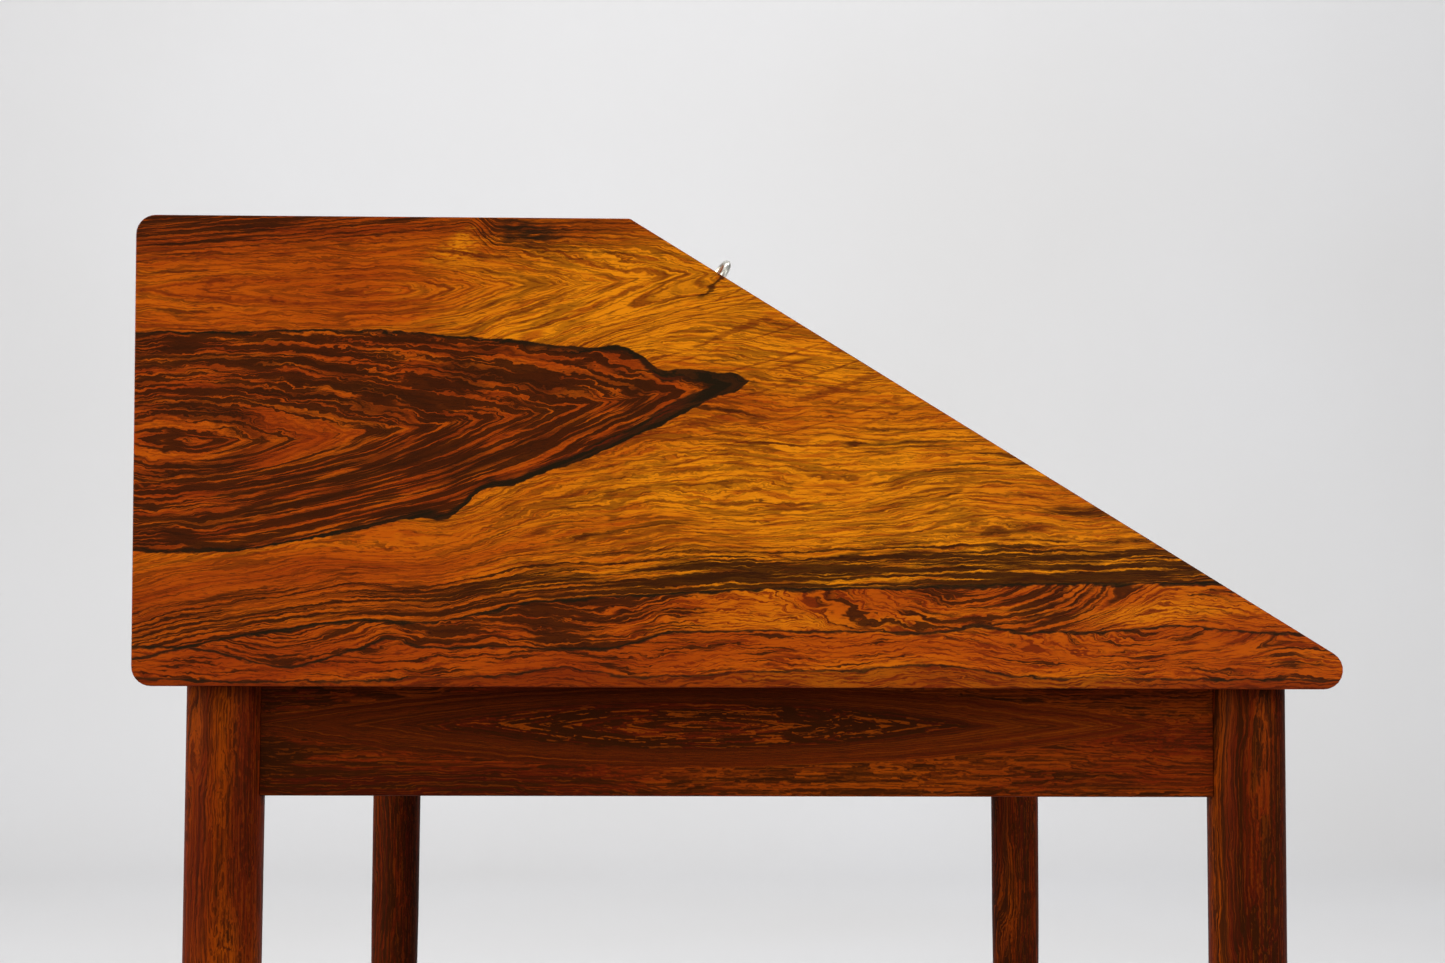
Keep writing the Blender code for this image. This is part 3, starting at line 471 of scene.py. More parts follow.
class SideLeaf:
    """The figured leaf on both case sides: a long dark-edged flame that points to the front,
    paler pointed ovals around it, a knot at the top and dark layers at the bottom. It is drawn
    layer over layer; u is millimetres from the back edge, and v millimetres up."""

    def __init__(self, panel):
        graph = Graph("side_veneer")
        self.graph = graph
        self.x, self.y, self.z = graph.place()
        low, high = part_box(panel)
        self.u = high.y * MM - self.y
        self.v = self.z - low.z * MM
        self.wander()
        self.find_lines()
        self.grow()
        self.tick = graph.smooth(graph.noise(self.v / 0.60, self.u / 6, 1.0), 0.58, 0.67)

    def wander(self):
        """Wander of the growth lines: broad, rippled, jagged and nicked."""
        graph, u, v = self.graph, self.u, self.v
        self.sway = graph.noise(u / 90, v / 50, 3.1) - 0.5
        self.jag = graph.noise(u / 17, v / 8, 8.4, 3.0, 0.6) - 0.5
        self.nick = graph.noise(u / 3.6, v / 1.8, 5.2) - 0.5
        ripple = graph.noise(u / 46, v / 10, 17.0, 3.0) - 0.5
        swayed = v + self.sway * 12.0
        self.grown_u = u + self.jag * 24.0
        self.grown_v = swayed + self.jag * 7.0 + self.nick * 1.5
        self.calm_v = swayed + ripple * 5.5 + self.jag * 1.2 + self.nick * 0.7
        self.cut_v = v + self.jag * 4.5 + self.nick * 1.3

    def find_lines(self):
        """Dark boundary lines along the bottom, and the heights above them."""
        graph, u = self.graph, self.u
        sag = graph.math("EXPONENT", u / -150.0) * 38.5
        self.line_1 = 50.5 - sag + graph.humps(u, LINE_1_HUMPS)
        self.line_2 = 18.0 + graph.smooth(u, 215, 255) * 8.0 + graph.humps(u, LINE_2_HUMPS)
        self.line_3 = 4.6 + graph.humps(u, LINE_3_HUMPS)
        self.over_1 = self.cut_v - self.line_1
        self.over_2 = self.cut_v - self.line_2
        self.over_3 = self.cut_v - self.line_3

    def grow(self):
        """Growth field in millimetres: layers over line 1 that rise beside the flame and lean
        down to the front, with the upper ovals and two eyes let into them."""
        graph, u, v = self.graph, self.u, self.v
        self.upper = pointed(graph, u + self.jag * 14.0, self.calm_v + self.jag * 3.0, *UPPER_OVAL)[0]
        lean = (u - 280.0) * graph.smooth(v, 70, 170) * 0.11
        rise = graph.smooth(u, 50, 270) * graph.smooth(v, 40, 165) * 34.0
        field = self.calm_v - self.line_1 + lean - rise
        field = graph.blend(graph.smooth(self.upper, 1.8, 1.0), field, 84.0 + self.upper * 25.0)
        for eye in EYES:
            field = field + parting(graph, u, v, *eye)
        self.field = field
        self.thin = graph.noise(field / 1.7, u / 64, 4.0, 3.0, 0.62)
        self.broad = graph.noise(field / 17, u / 160, 9.0, 1.0)

    def ground(self):
        """Gold in the middle and to the front, rust to the back and along the bottom, under
        the hair lines, thin lines and bold lines of the growth field."""
        graph, u, v = self.graph, self.u, self.v
        hair = graph.noise(self.field / 0.9, u / 24, 2.0, 2.0, 0.6)
        bold = graph.noise(self.field / 4.5, u / 150, 6.0, 3.0, 0.6)
        glow = 0.30 + graph.smooth(u, 60, 300) * 0.36
        glow = glow - graph.smooth(v, 75, 15) * graph.smooth(u, 330, 120) * 0.16
        glow = glow - graph.smooth(v, 190, 205) * 0.16 - graph.smooth(u, 440, 510) * 0.08
        glow = glow + graph.patch(u, v, *FRONT_GLOW, 0.8) * 0.16
        glow = glow + graph.patch(u, v, *TOP_GLOW, 0.9) * 0.21
        glow = glow + (self.broad - 0.5) * 0.9 + (self.thin - 0.5) * 0.6 + 0.05
        colour = graph.colours(glow, LEAF_TONES)
        busy = graph.smooth(u, 120, 330) * 0.02
        busy = busy + graph.smooth(v, 60, 90) * graph.smooth(v, 130, 100) * 0.01
        colour = graph.mix(graph.smooth(hair + busy, 0.47, 0.66) * 0.66, colour, RUST)
        colour = graph.mix(graph.smooth(self.thin + busy, 0.57, 0.68) * 0.66, colour, BROWN)
        calm = graph.smooth(self.upper, 2.4, 1.2) * 0.10
        calm = calm + graph.patch(u, v, *FRONT_EYE_CALM) * 0.08
        calm = calm + graph.patch(u, v, *BACK_EYE_CALM) * 0.12
        calm = calm + graph.smooth(v, 95, 125) * 0.02
        calm = calm + graph.smooth(u, 230, 150) * graph.smooth(v, 90, 75) * 0.06
        bold_lines = graph.smooth(bold - calm + (self.thin - 0.5) * 0.45, 0.57, 0.67)
        colour = graph.mix(bold_lines * 0.72, colour, DARK)
        return veined(graph, colour, self.field + self.nick * 0.8, u, 12.0)

    def upper_rings(self, colour):
        """Thin brown rings of the upper ovals, broken here and there."""
        graph = self.graph
        uneven = graph.noise(self.upper * 2.6, self.u / 300, 19.0, 1.0) - 0.5
        ring_at = self.upper * 4.2 + uneven * 2.4 + self.nick * 0.35
        ring_line = graph.smooth(graph.math("PINGPONG", ring_at, 0.5), 0.13, 0.03)
        ring_line = ring_line * graph.smooth(self.upper, 4.6, 3.4)
        unbroken = graph.smooth(graph.noise(self.u / 34, self.v / 7, 23.0, 2.0), 0.36, 0.54)
        return graph.mix(ring_line * unbroken * 0.62, colour, BROWN)

    def top_band(self, colour):
        """Streaked band along the top, which climbs to the knot."""
        graph, u = self.graph, self.u
        climb = graph.math("MINIMUM", u, 150.0) * 0.09 - graph.smooth(u, 152, 167) * 10.0
        top_at = self.v + self.jag * 2.5 + self.nick - climb
        lines = graph.noise(top_at / 1.25, u / 70, 21.0, 3.0, 0.62)
        lines = lines + graph.smooth(top_at, 196, 214) * 0.17
        lines = graph.smooth(lines, 0.54, 0.64) * graph.smooth(top_at, 194, 200)
        colour = graph.mix(lines * graph.smooth(u, 270, 150) * 0.90, colour, DARK)
        ring_at = top_at / 3.1 + (self.broad - 0.5) * 1.6 + self.nick * 0.2
        ring = graph.smooth(graph.math("PINGPONG", ring_at, 0.5), 0.17, 0.05)
        ring = ring * graph.smooth(top_at, 190, 198) * graph.smooth(u, 300, 200)
        return graph.mix(ring * 0.65, colour, DARK)

    def marks(self, colour):
        """Gold fan and black knot under the top edge, a smudge near the slope, and a short
        jagged break close under the key."""
        graph, u, v, jag, nick = self.graph, self.u, self.v, self.jag, self.nick
        below = (FAN_TOP - v) / 14.0
        fan = abs(u - FAN_PLACE + below * 6.0 + jag * 12.0) / (3.0 + below * 11.0)
        fan = graph.smooth(fan, 1.3, 0.3) * graph.smooth(v + jag * 6.0, 213, 209)
        fan = fan * graph.smooth(v, 188, 204) * graph.smooth(self.thin, 0.62, 0.46)
        fan = fan * graph.smooth(graph.noise(u / 3.0, v / 1.2, 27.0), 0.34, 0.56)
        colour = graph.mix(fan * 0.8, colour, GOLD)
        knot = graph.patch(u + jag * 22, v + jag * 14 + nick * 2, *KNOT, 0.9)
        knot = knot * graph.smooth(graph.noise(v / 1.1, u / 9, 25.0, 2.0), 0.36, 0.50)
        colour = graph.mix(knot * 0.85, colour, BLACK)
        smudge = graph.patch(u, v + jag * 8, *SMUDGE, 0.7) * graph.smooth(self.thin, 0.40, 0.52)
        colour = graph.mix(smudge * 0.85, colour, DARK)
        break_u = 262.0 + graph.smooth(v, 197, 192) * 7.5 - graph.smooth(v, 191, 185) * 4.0
        break_u = break_u - graph.smooth(v, 184, 180) * 4.0 + nick * 3.0 + jag * 9.0
        broken = graph.smooth(abs(u - break_u) - 0.7, 0.9, -0.3)
        broken = broken * graph.smooth(v, 179, 182) * graph.smooth(v, 198, 196)
        return graph.mix(broken * 0.85, colour, DARK)

    def flame(self, colour):
        """The flame: a pale core in close dark rings, inside an edge that is thin above, and
        thick below and at the point."""
        graph, u = self.graph, self.u
        oval = pointed(graph, self.grown_u, self.grown_v, *FLAME)[0]
        across, along = pointed(graph, u, self.cut_v, *FLAME)[1:]
        ring = oval * FLAME_HEIGHT
        depth = graph.smooth(oval, 0.10, 0.45)
        rings = graph.noise((ring + self.nick * 0.6) / 1.5, u / 52, 31.0, 2.0, 0.58) + depth * 0.045
        wide_rings = graph.noise(ring / 4.2, u / 70, 39.0, 2.0, 0.6) + depth * 0.045
        fine_rings = graph.noise(ring / 0.9, u / 26, 33.0, 2.0, 0.6)
        tone = graph.noise(ring / 5, u / 40, 35.0, 2.0) - depth * 0.02
        heart = graph.colours(tone, HEART_TONES)
        heart = graph.mix(graph.smooth(fine_rings, 0.42, 0.60) * 0.55, heart, BROWN)
        heart = graph.mix(graph.smooth(wide_rings, 0.52, 0.66) * 0.60, heart, DARK)
        heart = graph.mix(graph.smooth(rings, 0.48, 0.55) * 0.90, heart, DARK)
        below = graph.smooth(across, 0.05, -0.05)
        bulge = graph.humps(u, EDGE_HUMPS_BELOW) * below
        bulge = bulge + graph.humps(u, EDGE_HUMPS_ABOVE) * (1.0 - below)
        bulge = bulge + graph.humps(u, EDGE_HUMPS_TIP)
        self.inward = (1.0 - along * along - abs(across)) * FLAME_HEIGHT + bulge
        rim = 0.9 + graph.smooth(u, 140, 225) * 1.3 + graph.smooth(u, 225, 245) * 3.0
        rim = rim + below * graph.smooth(u, 50, 130) * 2.0 + (fine_rings - 0.5) * 4.0
        streaks = graph.smooth(graph.noise(self.inward / 1.6, u / 30, 41.0, 2.0), 0.50, 0.62)
        streaks = streaks * graph.smooth(self.inward, 1.5, 3.5)
        edge = graph.smooth(self.inward - rim, 1.3, -0.6) * 0.93
        heart = graph.mix(edge, heart, BLACK)
        heart = graph.mix(edge * streaks * graph.smooth(u, 262, 235) * 0.75, heart, BROWN)
        return graph.mix(graph.smooth(self.inward, -0.35, 0.35), colour, heart)

    def dark_layers(self, colour):
        """Dark layers over line 1, outside the flame."""
        graph, u = self.graph, self.u
        layer = graph.noise(self.over_1 / 1.45 + self.sway * 3.0, u / 95, 51.0, 3.0, 0.60)
        more = graph.smooth(self.over_1, 30.0, 6.0) * (graph.smooth(u, 110, 270) * 0.080 + 0.105)
        shown = graph.smooth(self.over_1, 33.0, 16.0) * 0.93 * graph.smooth(self.inward, 0.5, -1.0)
        return graph.mix(graph.smooth(layer + more, 0.55, 0.67) * shown, colour, DARK)

    def strip(self, field, glow, lines, hair_length, seed, thresholds):
        """Wood of a bottom strip: its ground, hair lines along its field, and dark lines."""
        graph = self.graph
        colour = graph.colours(glow, STRIP_TONES)
        hair = graph.noise(field / 0.9, self.u / hair_length, seed, 2.0, 0.6)
        colour = graph.mix(graph.smooth(hair, 0.42, 0.60) * 0.75, colour, RUST)
        colour = graph.mix(graph.smooth(hair, 0.52, 0.62) * 0.7, colour, BROWN)
        return graph.mix(graph.smooth(lines, *thresholds) * 0.9, colour, DARK)

    def upper_strip(self, colour):
        """Between lines 1 and 2: bowls that hang from line 1, a gold break and dark stretches."""
        graph, u = self.graph, self.u
        bowl = bowl_at(self.grown_u, self.grown_v, *UPPER_BOWL)
        in_bowl = graph.smooth(bowl, 1.55, 1.15)
        field = graph.blend(in_bowl, self.grown_v - self.line_2, bowl * 20.0)
        lines = graph.noise(field / 1.7, u / 40, 61.0, 3.0, 0.62)
        lines = lines + graph.humps(u, STRIP_HUMPS) + in_bowl * 0.08
        glow = 0.22 + graph.smooth(u, 200, 280) * 0.30 + (self.broad - 0.5) * 0.8
        glow = glow - in_bowl * 0.15 - graph.smooth(u, 470, 530) * 0.15
        wood = self.strip(field, glow, lines, 22, 65.0, (0.53, 0.64))
        return graph.mix(graph.smooth(self.over_1, 0.2, -0.2), colour, wood)

    def lower_strip(self, colour):
        """Below line 2: a paler strip with a smaller bowl towards the front, and a brown foot."""
        graph, u = self.graph, self.u
        bowl = bowl_at(self.grown_u, self.grown_v, *LOWER_BOWL)
        in_bowl = graph.smooth(bowl, 1.5, 1.1)
        field = graph.blend(in_bowl, self.grown_v - self.line_3, bowl * 14.0)
        lines = graph.noise(field / 1.5, u / 40, 71.0, 3.0, 0.62)
        lines = lines - graph.hump(u, 350, 60) * 0.05 + 0.04
        glow = 0.20 + graph.smooth(u, 240, 340) * 0.26 + (self.broad - 0.5) * 0.8
        glow = glow - graph.smooth(u, 420, 520) * 0.20
        wood = self.strip(field, glow, lines, 24, 75.0, (0.55, 0.65))
        colour = graph.mix(graph.smooth(self.over_2, 0.2, -0.2), colour, wood)
        return graph.mix(graph.smooth(self.over_3, 0.5, -0.5) * 0.55, colour, BROWN)

    def boundary_lines(self, colour):
        """The three black lines, each of uneven thickness."""
        graph = self.graph
        overs = (self.over_1, self.over_2, self.over_3)
        for over, (width, strength) in zip(overs, BOUNDARY_LINES):
            thickness = width * (1.0 + self.jag * 3.0)
            line = graph.smooth(abs(over) - thickness, 0.35, -0.45)
            colour = graph.mix(line * strength, colour, BLACK)
        return colour

    def edge_banding(self, colour):
        """Banding on the panel's edges, with its grain along each edge."""
        graph = self.graph
        lines = graph.noise(self.x / 2.1, self.y / 60, self.z / 60, 3.0, 0.6)
        tone = graph.noise(self.x / 6, self.y / 150, self.z / 150, 1.0) + (lines - 0.5) * 0.5
        banding = graph.colours(tone, BANDING_TONES)
        banding = graph.mix(graph.smooth(lines, 0.50, 0.62) * 0.8, banding, DARK)
        return graph.mix(graph.smooth(graph.sideways(), 0.75, 0.55), colour, banding)


def side_veneer(panel):
    """The side leaf's material, laid out on a side panel; the other side repeats it mirrored."""
    leaf = SideLeaf(panel)
    colour = leaf.ground()
    layers = (leaf.upper_rings, leaf.top_band, leaf.marks, leaf.flame, leaf.dark_layers,
              leaf.upper_strip, leaf.lower_strip, leaf.boundary_lines)
    for layer in layers:
        colour = layer(colour)
    colour = leaf.graph.mix(leaf.tick * 0.45, colour, DARK)
    rosewood_surface(leaf.graph, leaf.edge_banding(colour), leaf.tick)
    return leaf.graph.material


def board_veneer(name, across_y, across_z, seed):
    """Plainer leaves with the grain along X, for the flap, the top, the floor and the back.
    How much Y and Z count across the grain depends on how the board leans."""
    graph = Graph(name)
    x, y, z = graph.place()
    u = x
    v = y * across_y + z * across_z
    sway = graph.noise(u / 170, v / 60, seed) - 0.5
    jag = graph.noise(u / 20, v / 9, seed + 3, 3.0, 0.6) - 0.5
    field = v + sway * 62.0 + jag * 3.5
    hair = graph.noise(field / 0.75, u / 13, seed + 5, 2.0, 0.6)
    thin = graph.noise(field / 1.9, u / 40, seed + 7, 3.0, 0.65)
    bold = graph.noise(field / 5.0, u / 140, seed + 9, 3.0, 0.6)
    broad = graph.noise(field / 22, u / 300, seed + 11, 1.0)
    tick = graph.smooth(graph.noise(v / 0.55, u / 7, seed), 0.60, 0.70)
    ground = graph.colours(broad + (thin - 0.5) * 0.4, BOARD_TONES)
    colour = graph.mix(graph.smooth(hair, 0.50, 0.72) * 0.55, ground, RUST)
    colour = graph.mix(graph.smooth(thin, 0.55, 0.69) * 0.65, colour, BROWN)
    shade = graph.smooth(broad, 0.50, 0.36) * 0.12
    bold_lines = graph.smooth(bold + shade + (thin - 0.5) * 0.45, 0.56, 0.68)
    colour = graph.mix(bold_lines * 0.80, colour, DARK)
    colour = veined(graph, colour, field, u, seed + 13)
    colour = graph.mix(tick * 0.55, colour, DARK)
    rosewood_surface(graph, colour, tick)
    return graph.material


def grain_places(graph, grain):
    """Distance along the grain, and the two distances across it, in millimetres."""
    places = dict(zip("XYZ", graph.place()))
    along = places.pop(grain)
    return along, *places.values()


def solid_rosewood(name, grain, seed, deepen=0.0, figure=None):
    """Deep red-brown stock of the stand, with the grain along X, Y or Z. A figure is the
    place of a dark pointed oval along the grain, its height, and its size both ways."""
    graph = Graph(name)
    u, v, w = grain_places(graph, grain)
    sway = graph.noise(u / 140, v / 35, w / 35) - 0.5
    jag = graph.noise(u / 16, v / 7, w / 7, 3.0, 0.6) - 0.5
    bend = sway * 30.0 + jag * 4.5
    across_v = v + bend
    across_w = w + bend
    dim = deepen
    rings = 0.25
    if figure:
        at, height, length, half = figure
        core = (at, height)
        oval = pointed(graph, u * -1.0 + jag * 12.0, w + jag * 3.0, core, 0.0, length, half, length)[0]
        near = graph.smooth(oval, 2.2, 1.2)
        across_w = graph.blend(near, across_w, oval * half)
        rings = 0.25 + graph.smooth(oval, 1.3, 0.9) * 0.45
        dim = deepen + near * 0.04 + graph.smooth(oval, 1.1, 0.5) * 0.04
        dim = dim + graph.smooth(u, 150, 262) * 0.06 - graph.smooth(u, -60, -200) * 0.05
        dim = dim + graph.patch(u, w, (PATCH_ALONG, height - PATCH_DROP), PATCH_SIZE, 0.7) * 0.25
    bold = graph.noise(across_v / 2.8 + seed, u / 110, across_w / 2.8, 3.0, 0.65)
    thin = graph.noise(across_v / 1.2 + seed, u / 52, across_w / 1.2, 2.0, 0.6)
    broad = graph.noise(across_v / 22 + seed, u / 220, across_w / 22, 1.0)
    tick = graph.smooth(graph.noise(v / 0.6, w / 0.6, u / 9), 0.58, 0.68)
    tone = broad + (thin - 0.5) * 0.4 - dim
    ground = graph.colours(tone, STAND_TONES)
    line = graph.noise(across_v / 0.9 + seed, u / 44, across_w / 0.9, 2.0, 0.6)
    colour = graph.mix(graph.smooth(thin, 0.46, 0.60) * 0.75, ground, STAND_DEEP)
    colour = graph.mix(graph.smooth(line, 0.50, 0.60) * 0.60, colour, DARK)
    colour = graph.mix(graph.smooth(bold + dim, 0.50, 0.61) * 0.85, colour, DARK)
    colour = graph.mix(graph.smooth(line, 0.46, 0.38) * rings, colour, (*STAND_LIGHT, 1.0))
    colour = graph.mix(tick * 0.5, colour, DARK)
    rosewood_surface(graph, colour, tick, STAND_GLOSS)
    return graph.material


def pale_wood(name, grain, seed, tones):
    """Plain inside wood, with the grain along X, Y or Z."""
    graph = Graph(name)
    u, v, w = grain_places(graph, grain)
    bend = (graph.noise(u / 160, v / 50, w / 50) - 0.5) * 30.0
    lines = graph.noise((v + bend) / 4.5 + seed, u / 250, (w + bend) / 4.5, 4.0, 0.6)
    fleck = graph.smooth(graph.noise(v / 0.9, w / 0.9, u / 8), 0.60, 0.72)
    colour = graph.colours(lines, list(zip(PALE_STOPS, tones)))
    colour = graph.mix(fleck * 0.35, colour, (*tones[2], 1.0))
    graph.surface(Base_Color=colour, Roughness=0.42 + fleck * 0.12,
                  Normal=graph.bump(-fleck, 0.00006))
    return graph.material


def metal(name, bright, dull, rough):
    """Lightly aged metal: clouds of tarnish and fine wear."""
    graph = Graph(name)
    x, y, z = graph.place()
    cloud = graph.noise(x / 8, y / 8, z / 8, 4.0, 0.6)
    grit = graph.noise(x * 2.2, y * 2.2, z * 2.2)
    colour = graph.mix(graph.smooth(cloud, 0.42, 0.62), (*bright, 1.0), (*dull, 1.0))
    graph.surface(Base_Color=colour, Metallic=1.0, Roughness=rough + cloud * 0.16 + grit * 0.06,
                  Normal=graph.bump(grit, 0.00001))
    return graph.material


def scuffed_nylon():
    """Dark nylon of the foot glides, lightly scuffed."""
    graph = Graph("dark_nylon")
    x, y, z = graph.place()
    scuff = graph.noise(x / 2, y / 2, z / 2, 3.0)
    colour = graph.colours(scuff, NYLON_TONES)
    graph.surface(Base_Color=colour, Roughness=0.42 + scuff * 0.2)
    return graph.material


def soften(node):
    """Welds a CAD node's faces for rendering and rounds its arrises."""
    mesh = node.data
    if "custom_normal" in mesh.attributes:
        mesh.attributes.remove(mesh.attributes["custom_normal"])
    mesh.shade_smooth()
    weld = node.modifiers.new("Weld", "WELD")
    weld.merge_threshold = WELD_DISTANCE
    flat = node.modifiers.new("Flat faces", "DECIMATE")
    flat.decimate_type = "DISSOLVE"
    flat.angle_limit = FLAT_ANGLE
    edge = node.modifiers.new("Arris", "BEVEL")
    edge.width = ARRIS
    edge.segments = ARRIS_SEGMENTS
    edge.limit_method = "ANGLE"
    edge.angle_limit = ARRIS_ANGLE
    edge.use_clamp_overlap = True
    normals = node.modifiers.new("Normals", "WEIGHTED_NORMAL")
    normals.keep_sharp = False


def half_head(shape, place, radius, rise, slot_half, side):
    """One half of a domed screw head, beside the slot: rings of arcs closed by a flat wall."""
    rings = []
    for share in DOME_SHARES:
        reach = max(radius * math.cos(share * math.pi / 2), slot_half * 1.3)
        height = rise * math.sin(share * math.pi / 2)
        first = math.asin(slot_half / reach)
        ring = []
        for step in range(HALF_HEAD_STEPS + 1):
            angle = first + (math.pi - 2 * first) * step / HALF_HEAD_STEPS
            point = Vector((reach * math.cos(angle), side * reach * math.sin(angle), height))
            ring.append(shape.verts.new(place @ point))
        rings.append(ring)
    for lower, upper in zip(rings, rings[1:]):
        for step in range(len(lower) - 1):
            shape.faces.new((lower[step], lower[step + 1], upper[step + 1], upper[step]))
    shape.faces.new(rings[0])
    shape.faces.new(rings[-1])
    shape.faces.new([ring[0] for ring in rings] + [ring[-1] for ring in reversed(rings)])


def turned(shape, place, profile, sides):
    """A closed solid of rings about the placed Z axis, from (radius, height) pairs."""
    rings = []
    for radius, height in profile:
        ring = []
        for side in range(sides):
            angle = 2 * math.pi * side / sides
            point = Vector((radius * math.cos(angle), radius * math.sin(angle), height))
            ring.append(shape.verts.new(place @ point))
        rings.append(ring)
    for lower, upper in zip(rings, rings[1:]):
        for side in range(sides):
            after = (side + 1) % sides
            shape.faces.new((lower[side], lower[after], upper[after], upper[side]))
    shape.faces.new(rings[0])
    shape.faces.new(rings[-1])


def screw_head(shape, place, radius, rise):
    """A slotted screw head, slightly domed, with its slot turned by where the screw is."""
    at = place.translation
    turn = Matrix.Rotation(at.x * SLOT_TURN_BY_X + at.y * SLOT_TURN_BY_Y, 4, "Z")
    slot_half = radius * SLOT_SHARE
    turned(shape, place, [(radius, -rise * 0.5), (radius, rise * 0.12)], HEAD_SIDES)
    for side in (-1, 1):
        half_head(shape, place @ turn, radius, rise, slot_half, side)


def leg_nut(shape, place):
    """Washer, six-sided nut and threaded stud end."""
    turned(shape, place, WASHER, WASHER_SIDES)
    turned(shape, place, NUT, NUT_SIDES)
    nut_top = NUT[-1][1]
    thread = [(STUD_ROOT, nut_top)]
    for ridge in range(STUD_RIDGES):
        crest = nut_top + STUD_RISE + ridge * STUD_PITCH
        thread += [(STUD_CREST, crest), (STUD_ROOT, crest + STUD_FALL)]
    turned(shape, place, [*thread, STUD_END], STUD_SIDES)


def facing(point, direction):
    """A placing matrix whose Z axis points along the direction."""
    turn = Vector(direction).to_track_quat("Z", "Y")
    return Matrix.Translation(point) @ turn.to_matrix().to_4x4()


def add_hardware(name, body, shape, finish):
    """Makes one visible piece of the shape, which rides on a body."""
    bmesh.ops.recalc_face_normals(shape, faces=shape.faces)
    mesh = bpy.data.meshes.new(name)
    shape.to_mesh(mesh)
    shape.free()
    mesh.shade_smooth()
    mesh.set_sharp_from_angle(angle=HARDWARE_SHARP_ANGLE)
    mesh.materials.append(finish)
    made = bpy.data.objects.new(name, mesh)
    bpy.context.scene.collection.objects.link(made)
    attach(made, body)


def add_back_screws():
    """Screws round the edge of the back panel, in two rows and halfway up its ends."""
    low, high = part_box("back_panel")
    shape = bmesh.new()
    rows = (low.z + BACK_SCREW_MARGIN, high.z - BACK_SCREW_MARGIN)
    first = low.x + BACK_SCREW_MARGIN
    pitch = (high.x - BACK_SCREW_MARGIN - first) / (BACK_SCREW_COLUMNS - 1)
    columns = [first + pitch * column for column in range(BACK_SCREW_COLUMNS)]
    places = [(x, high.y, z) for x in columns for z in rows]
    places += [(x, high.y, sum(rows) / 2) for x in (columns[0], columns[-1])]
    for place in places:
        screw_head(shape, facing(place, (0, 1, 0)), *BACK_SCREW)
    add_hardware("back_panel_screws", "root", shape, brass)


def add_guide_screws():
    """Screws up through both walls of each loper guide."""
    shape = bmesh.new()
    for name in ("loper_guide_left", "loper_guide_right"):
        low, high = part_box(name)
        for x in (low.x + GUIDE_WALL_MIDDLE, high.x - GUIDE_WALL_MIDDLE):
            for y in GUIDE_SCREW_DEPTHS:
                screw_head(shape, facing((x, y, low.z), (0, 0, -1)), *STAND_SCREW)
    add_hardware("loper_guide_screws", "root", shape, steel)


def add_brace_hardware():
    """Two screws up through each corner brace, and the nut that draws the leg into its corner."""
    screws = bmesh.new()
    nuts = bmesh.new()
    for name in [name for name in nodes if name.startswith("corner_brace")]:
        low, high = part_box(name)
        middle = (low + high) / 2
        inward = Vector((-math.copysign(1, middle.x), -math.copysign(1, middle.y), 0))
        inward.normalize()
        aside = Vector((inward.y, -inward.x, 0))
        leg_nut(nuts, facing(middle, inward))
        under = Vector((middle.x, middle.y, low.z)) - inward * BRACE_HALF_THICKNESS
        for reach in (-BRACE_SCREW_REACH, BRACE_SCREW_REACH):
            screw_head(screws, facing(under + aside * reach, (0, 0, -1)), *STAND_SCREW)
    add_hardware("corner_brace_screws", "root", screws, steel)
    add_hardware("leg_nuts", "root", nuts, steel)


def add_lock_hardware():
    """Screws of the lock and its strike plate, and the pins of the escutcheon. Their places
    are in the slope's frame: at the hinge, with Y up the slope and Z out of it."""
    slope_frame = Matrix.Translation(joints["flap_hinge"]["pos_m"]) @ Matrix.Rotation(slope, 4, "X")
    to_slope = slope_frame.inverted()
    key_along = (to_slope @ Vector(joints["key_turn"]["pos_m"])).y
    low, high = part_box("strike_plate")
    strike_middle = to_slope @ ((low + high) / 2)
    strike_face = strike_middle.y - STRIKE_HALF_THICKNESS
    inside = Matrix.Rotation(math.pi, 4, "Y")
    down_slope = Matrix.Rotation(math.pi / 2, 4, "X")
    lock = bmesh.new()
    for x in (-LOCK_SCREW_ASIDE, LOCK_SCREW_ASIDE):
        for from_key in LOCK_SCREW_FROM_KEY:
            place = slope_frame @ Matrix.Translation((x, key_along + from_key, -HALF_BOARD)) @ inside
            screw_head(lock, place, *LOCK_SCREW)
    add_hardware("lock_screws", "flap", lock, brass)
    strike = bmesh.new()
    for x in (-STRIKE_SCREW_ASIDE, STRIKE_SCREW_ASIDE):
        place = slope_frame @ Matrix.Translation((x, strike_face, strike_middle.z)) @ down_slope
        screw_head(strike, place, *STRIKE_SCREW)
    add_hardware("strike_screws", "root", strike, brass)
    pins = bmesh.new()
    for x in (-PIN_ASIDE, PIN_ASIDE):
        place = slope_frame @ Matrix.Translation((x, key_along, HALF_BOARD + ESCUTCHEON_RISE))
        turned(pins, place, PIN, PIN_SIDES)
    add_hardware("escutcheon_pins", "flap", pins, brass)


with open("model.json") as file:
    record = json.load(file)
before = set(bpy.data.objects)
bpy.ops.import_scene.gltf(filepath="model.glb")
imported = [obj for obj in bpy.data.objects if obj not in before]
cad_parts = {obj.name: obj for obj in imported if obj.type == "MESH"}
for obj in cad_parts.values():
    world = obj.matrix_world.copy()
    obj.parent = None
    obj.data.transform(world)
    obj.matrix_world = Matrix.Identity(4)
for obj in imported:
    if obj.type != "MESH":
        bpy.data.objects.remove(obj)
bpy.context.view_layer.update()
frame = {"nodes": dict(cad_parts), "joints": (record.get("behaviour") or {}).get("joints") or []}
nodes = frame["nodes"]
joints = {joint["name"]: joint for joint in frame["joints"]}
outward = joints["key_turn"]["axis"]
slope = math.atan2(-outward[1], outward[2])

bpy.context.scene.view_settings.view_transform = "Standard"
add_camera()
add_stage()
add_light()

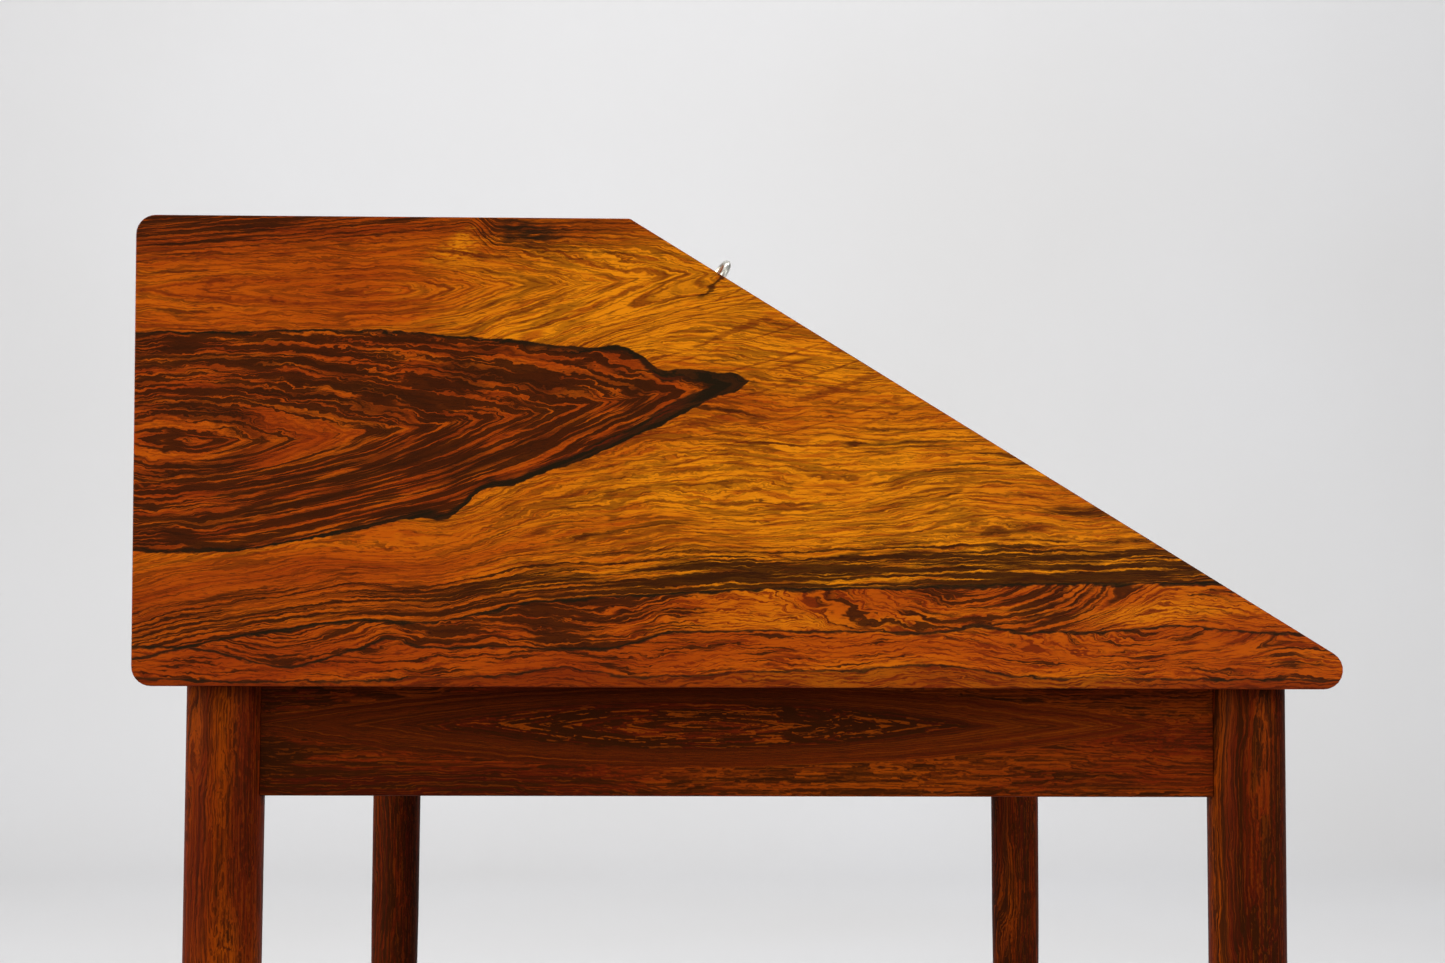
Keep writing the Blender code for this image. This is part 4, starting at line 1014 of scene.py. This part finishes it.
sides = side_veneer("side_panel_left")
flap_leaf = board_veneer("flap_veneer", math.cos(slope), math.sin(slope), 21.0)
top_leaf = board_veneer("top_veneer", 1.0, 0.3, 33.0)
floor_leaf = board_veneer("floor_veneer", 1.0, 0.3, 47.0)
back_leaf = board_veneer("back_veneer", 0.3, 1.0, 58.0)
rail_x = solid_rosewood("rail_rosewood_x", "X", 11.0)
rail_y = solid_rosewood("rail_rosewood_y", "Y", 17.0)
side_rail = solid_rosewood("side_rail_rosewood", "Y", 23.0, deepen=0.03, figure=SIDE_RAIL_FIGURE)
back_leg_wood = solid_rosewood("back_leg_rosewood", "Z", 29.0, deepen=-0.07)
front_leg_wood = solid_rosewood("front_leg_rosewood", "Z", 37.0, deepen=0.04)
# Far legs: a darker copy of the leg rosewood, painted shade for the shade they stand in under the desk
far_leg_painted_shade_wood = solid_rosewood("far_leg_rosewood_painted_shade", "Z", 43.0, deepen=0.07)
maple_x = pale_wood("maple_x", "X", 1.0, MAPLE_TONES)
maple_y = pale_wood("maple_y", "Y", 5.0, MAPLE_TONES)
beech_x = pale_wood("beech_x", "X", 9.0, BEECH_TONES)
beech_y = pale_wood("beech_y", "Y", 13.0, BEECH_TONES)
brass = metal("aged_brass", *BRASS)
steel = metal("plain_steel", *STEEL)
nickel = metal("nickel_plate", *NICKEL)
nylon = scuffed_nylon()

# Starts of node names and their materials; the first that fits is used
FINISHES = [
    ("side_panel", sides), ("flap_board", flap_leaf), ("top_board", top_leaf),
    ("bottom_board", floor_leaf), ("back_panel", back_leaf),
    # The far legs, under "leg_", take the darker leg wood that paints their shade
    ("leg_back_left", back_leg_wood), ("leg_front_left", front_leg_wood), ("leg_", far_leg_painted_shade_wood),
    ("apron_front", rail_x), ("apron_back", rail_x), ("apron_", side_rail),
    ("loper_guide", beech_y), ("loper_", rail_y), ("organizer_shelf", maple_x),
    ("letter_shelf", maple_x), ("organizer_", maple_y), ("pigeonhole_", maple_y),
    ("drawer_divider", maple_y), ("flap_stop", beech_y), ("corner_brace", beech_x),
    ("foot_glide", nylon), ("lock_bolt", steel), ("strike_plate", brass),
    ("lock_body", brass), ("hinge_pin", brass), ("escutcheon", brass), ("key", nickel),
]


def finish_for(name):
    """The material of a CAD node, by the first rule that its name meets."""
    if name.endswith("_knob"):
        return brass
    if name.startswith("drawer_") and name.endswith("_front"):
        return rail_x
    for start, finish in FINISHES:
        if name.startswith(start):
            return finish
    return beech_x if name.endswith("_back") else beech_y


for name, node in nodes.items():
    soften(node)
    node.data.materials.clear()
    node.data.materials.append(finish_for(name))

add_back_screws()
add_guide_screws()
add_brace_hardware()
add_lock_hardware()
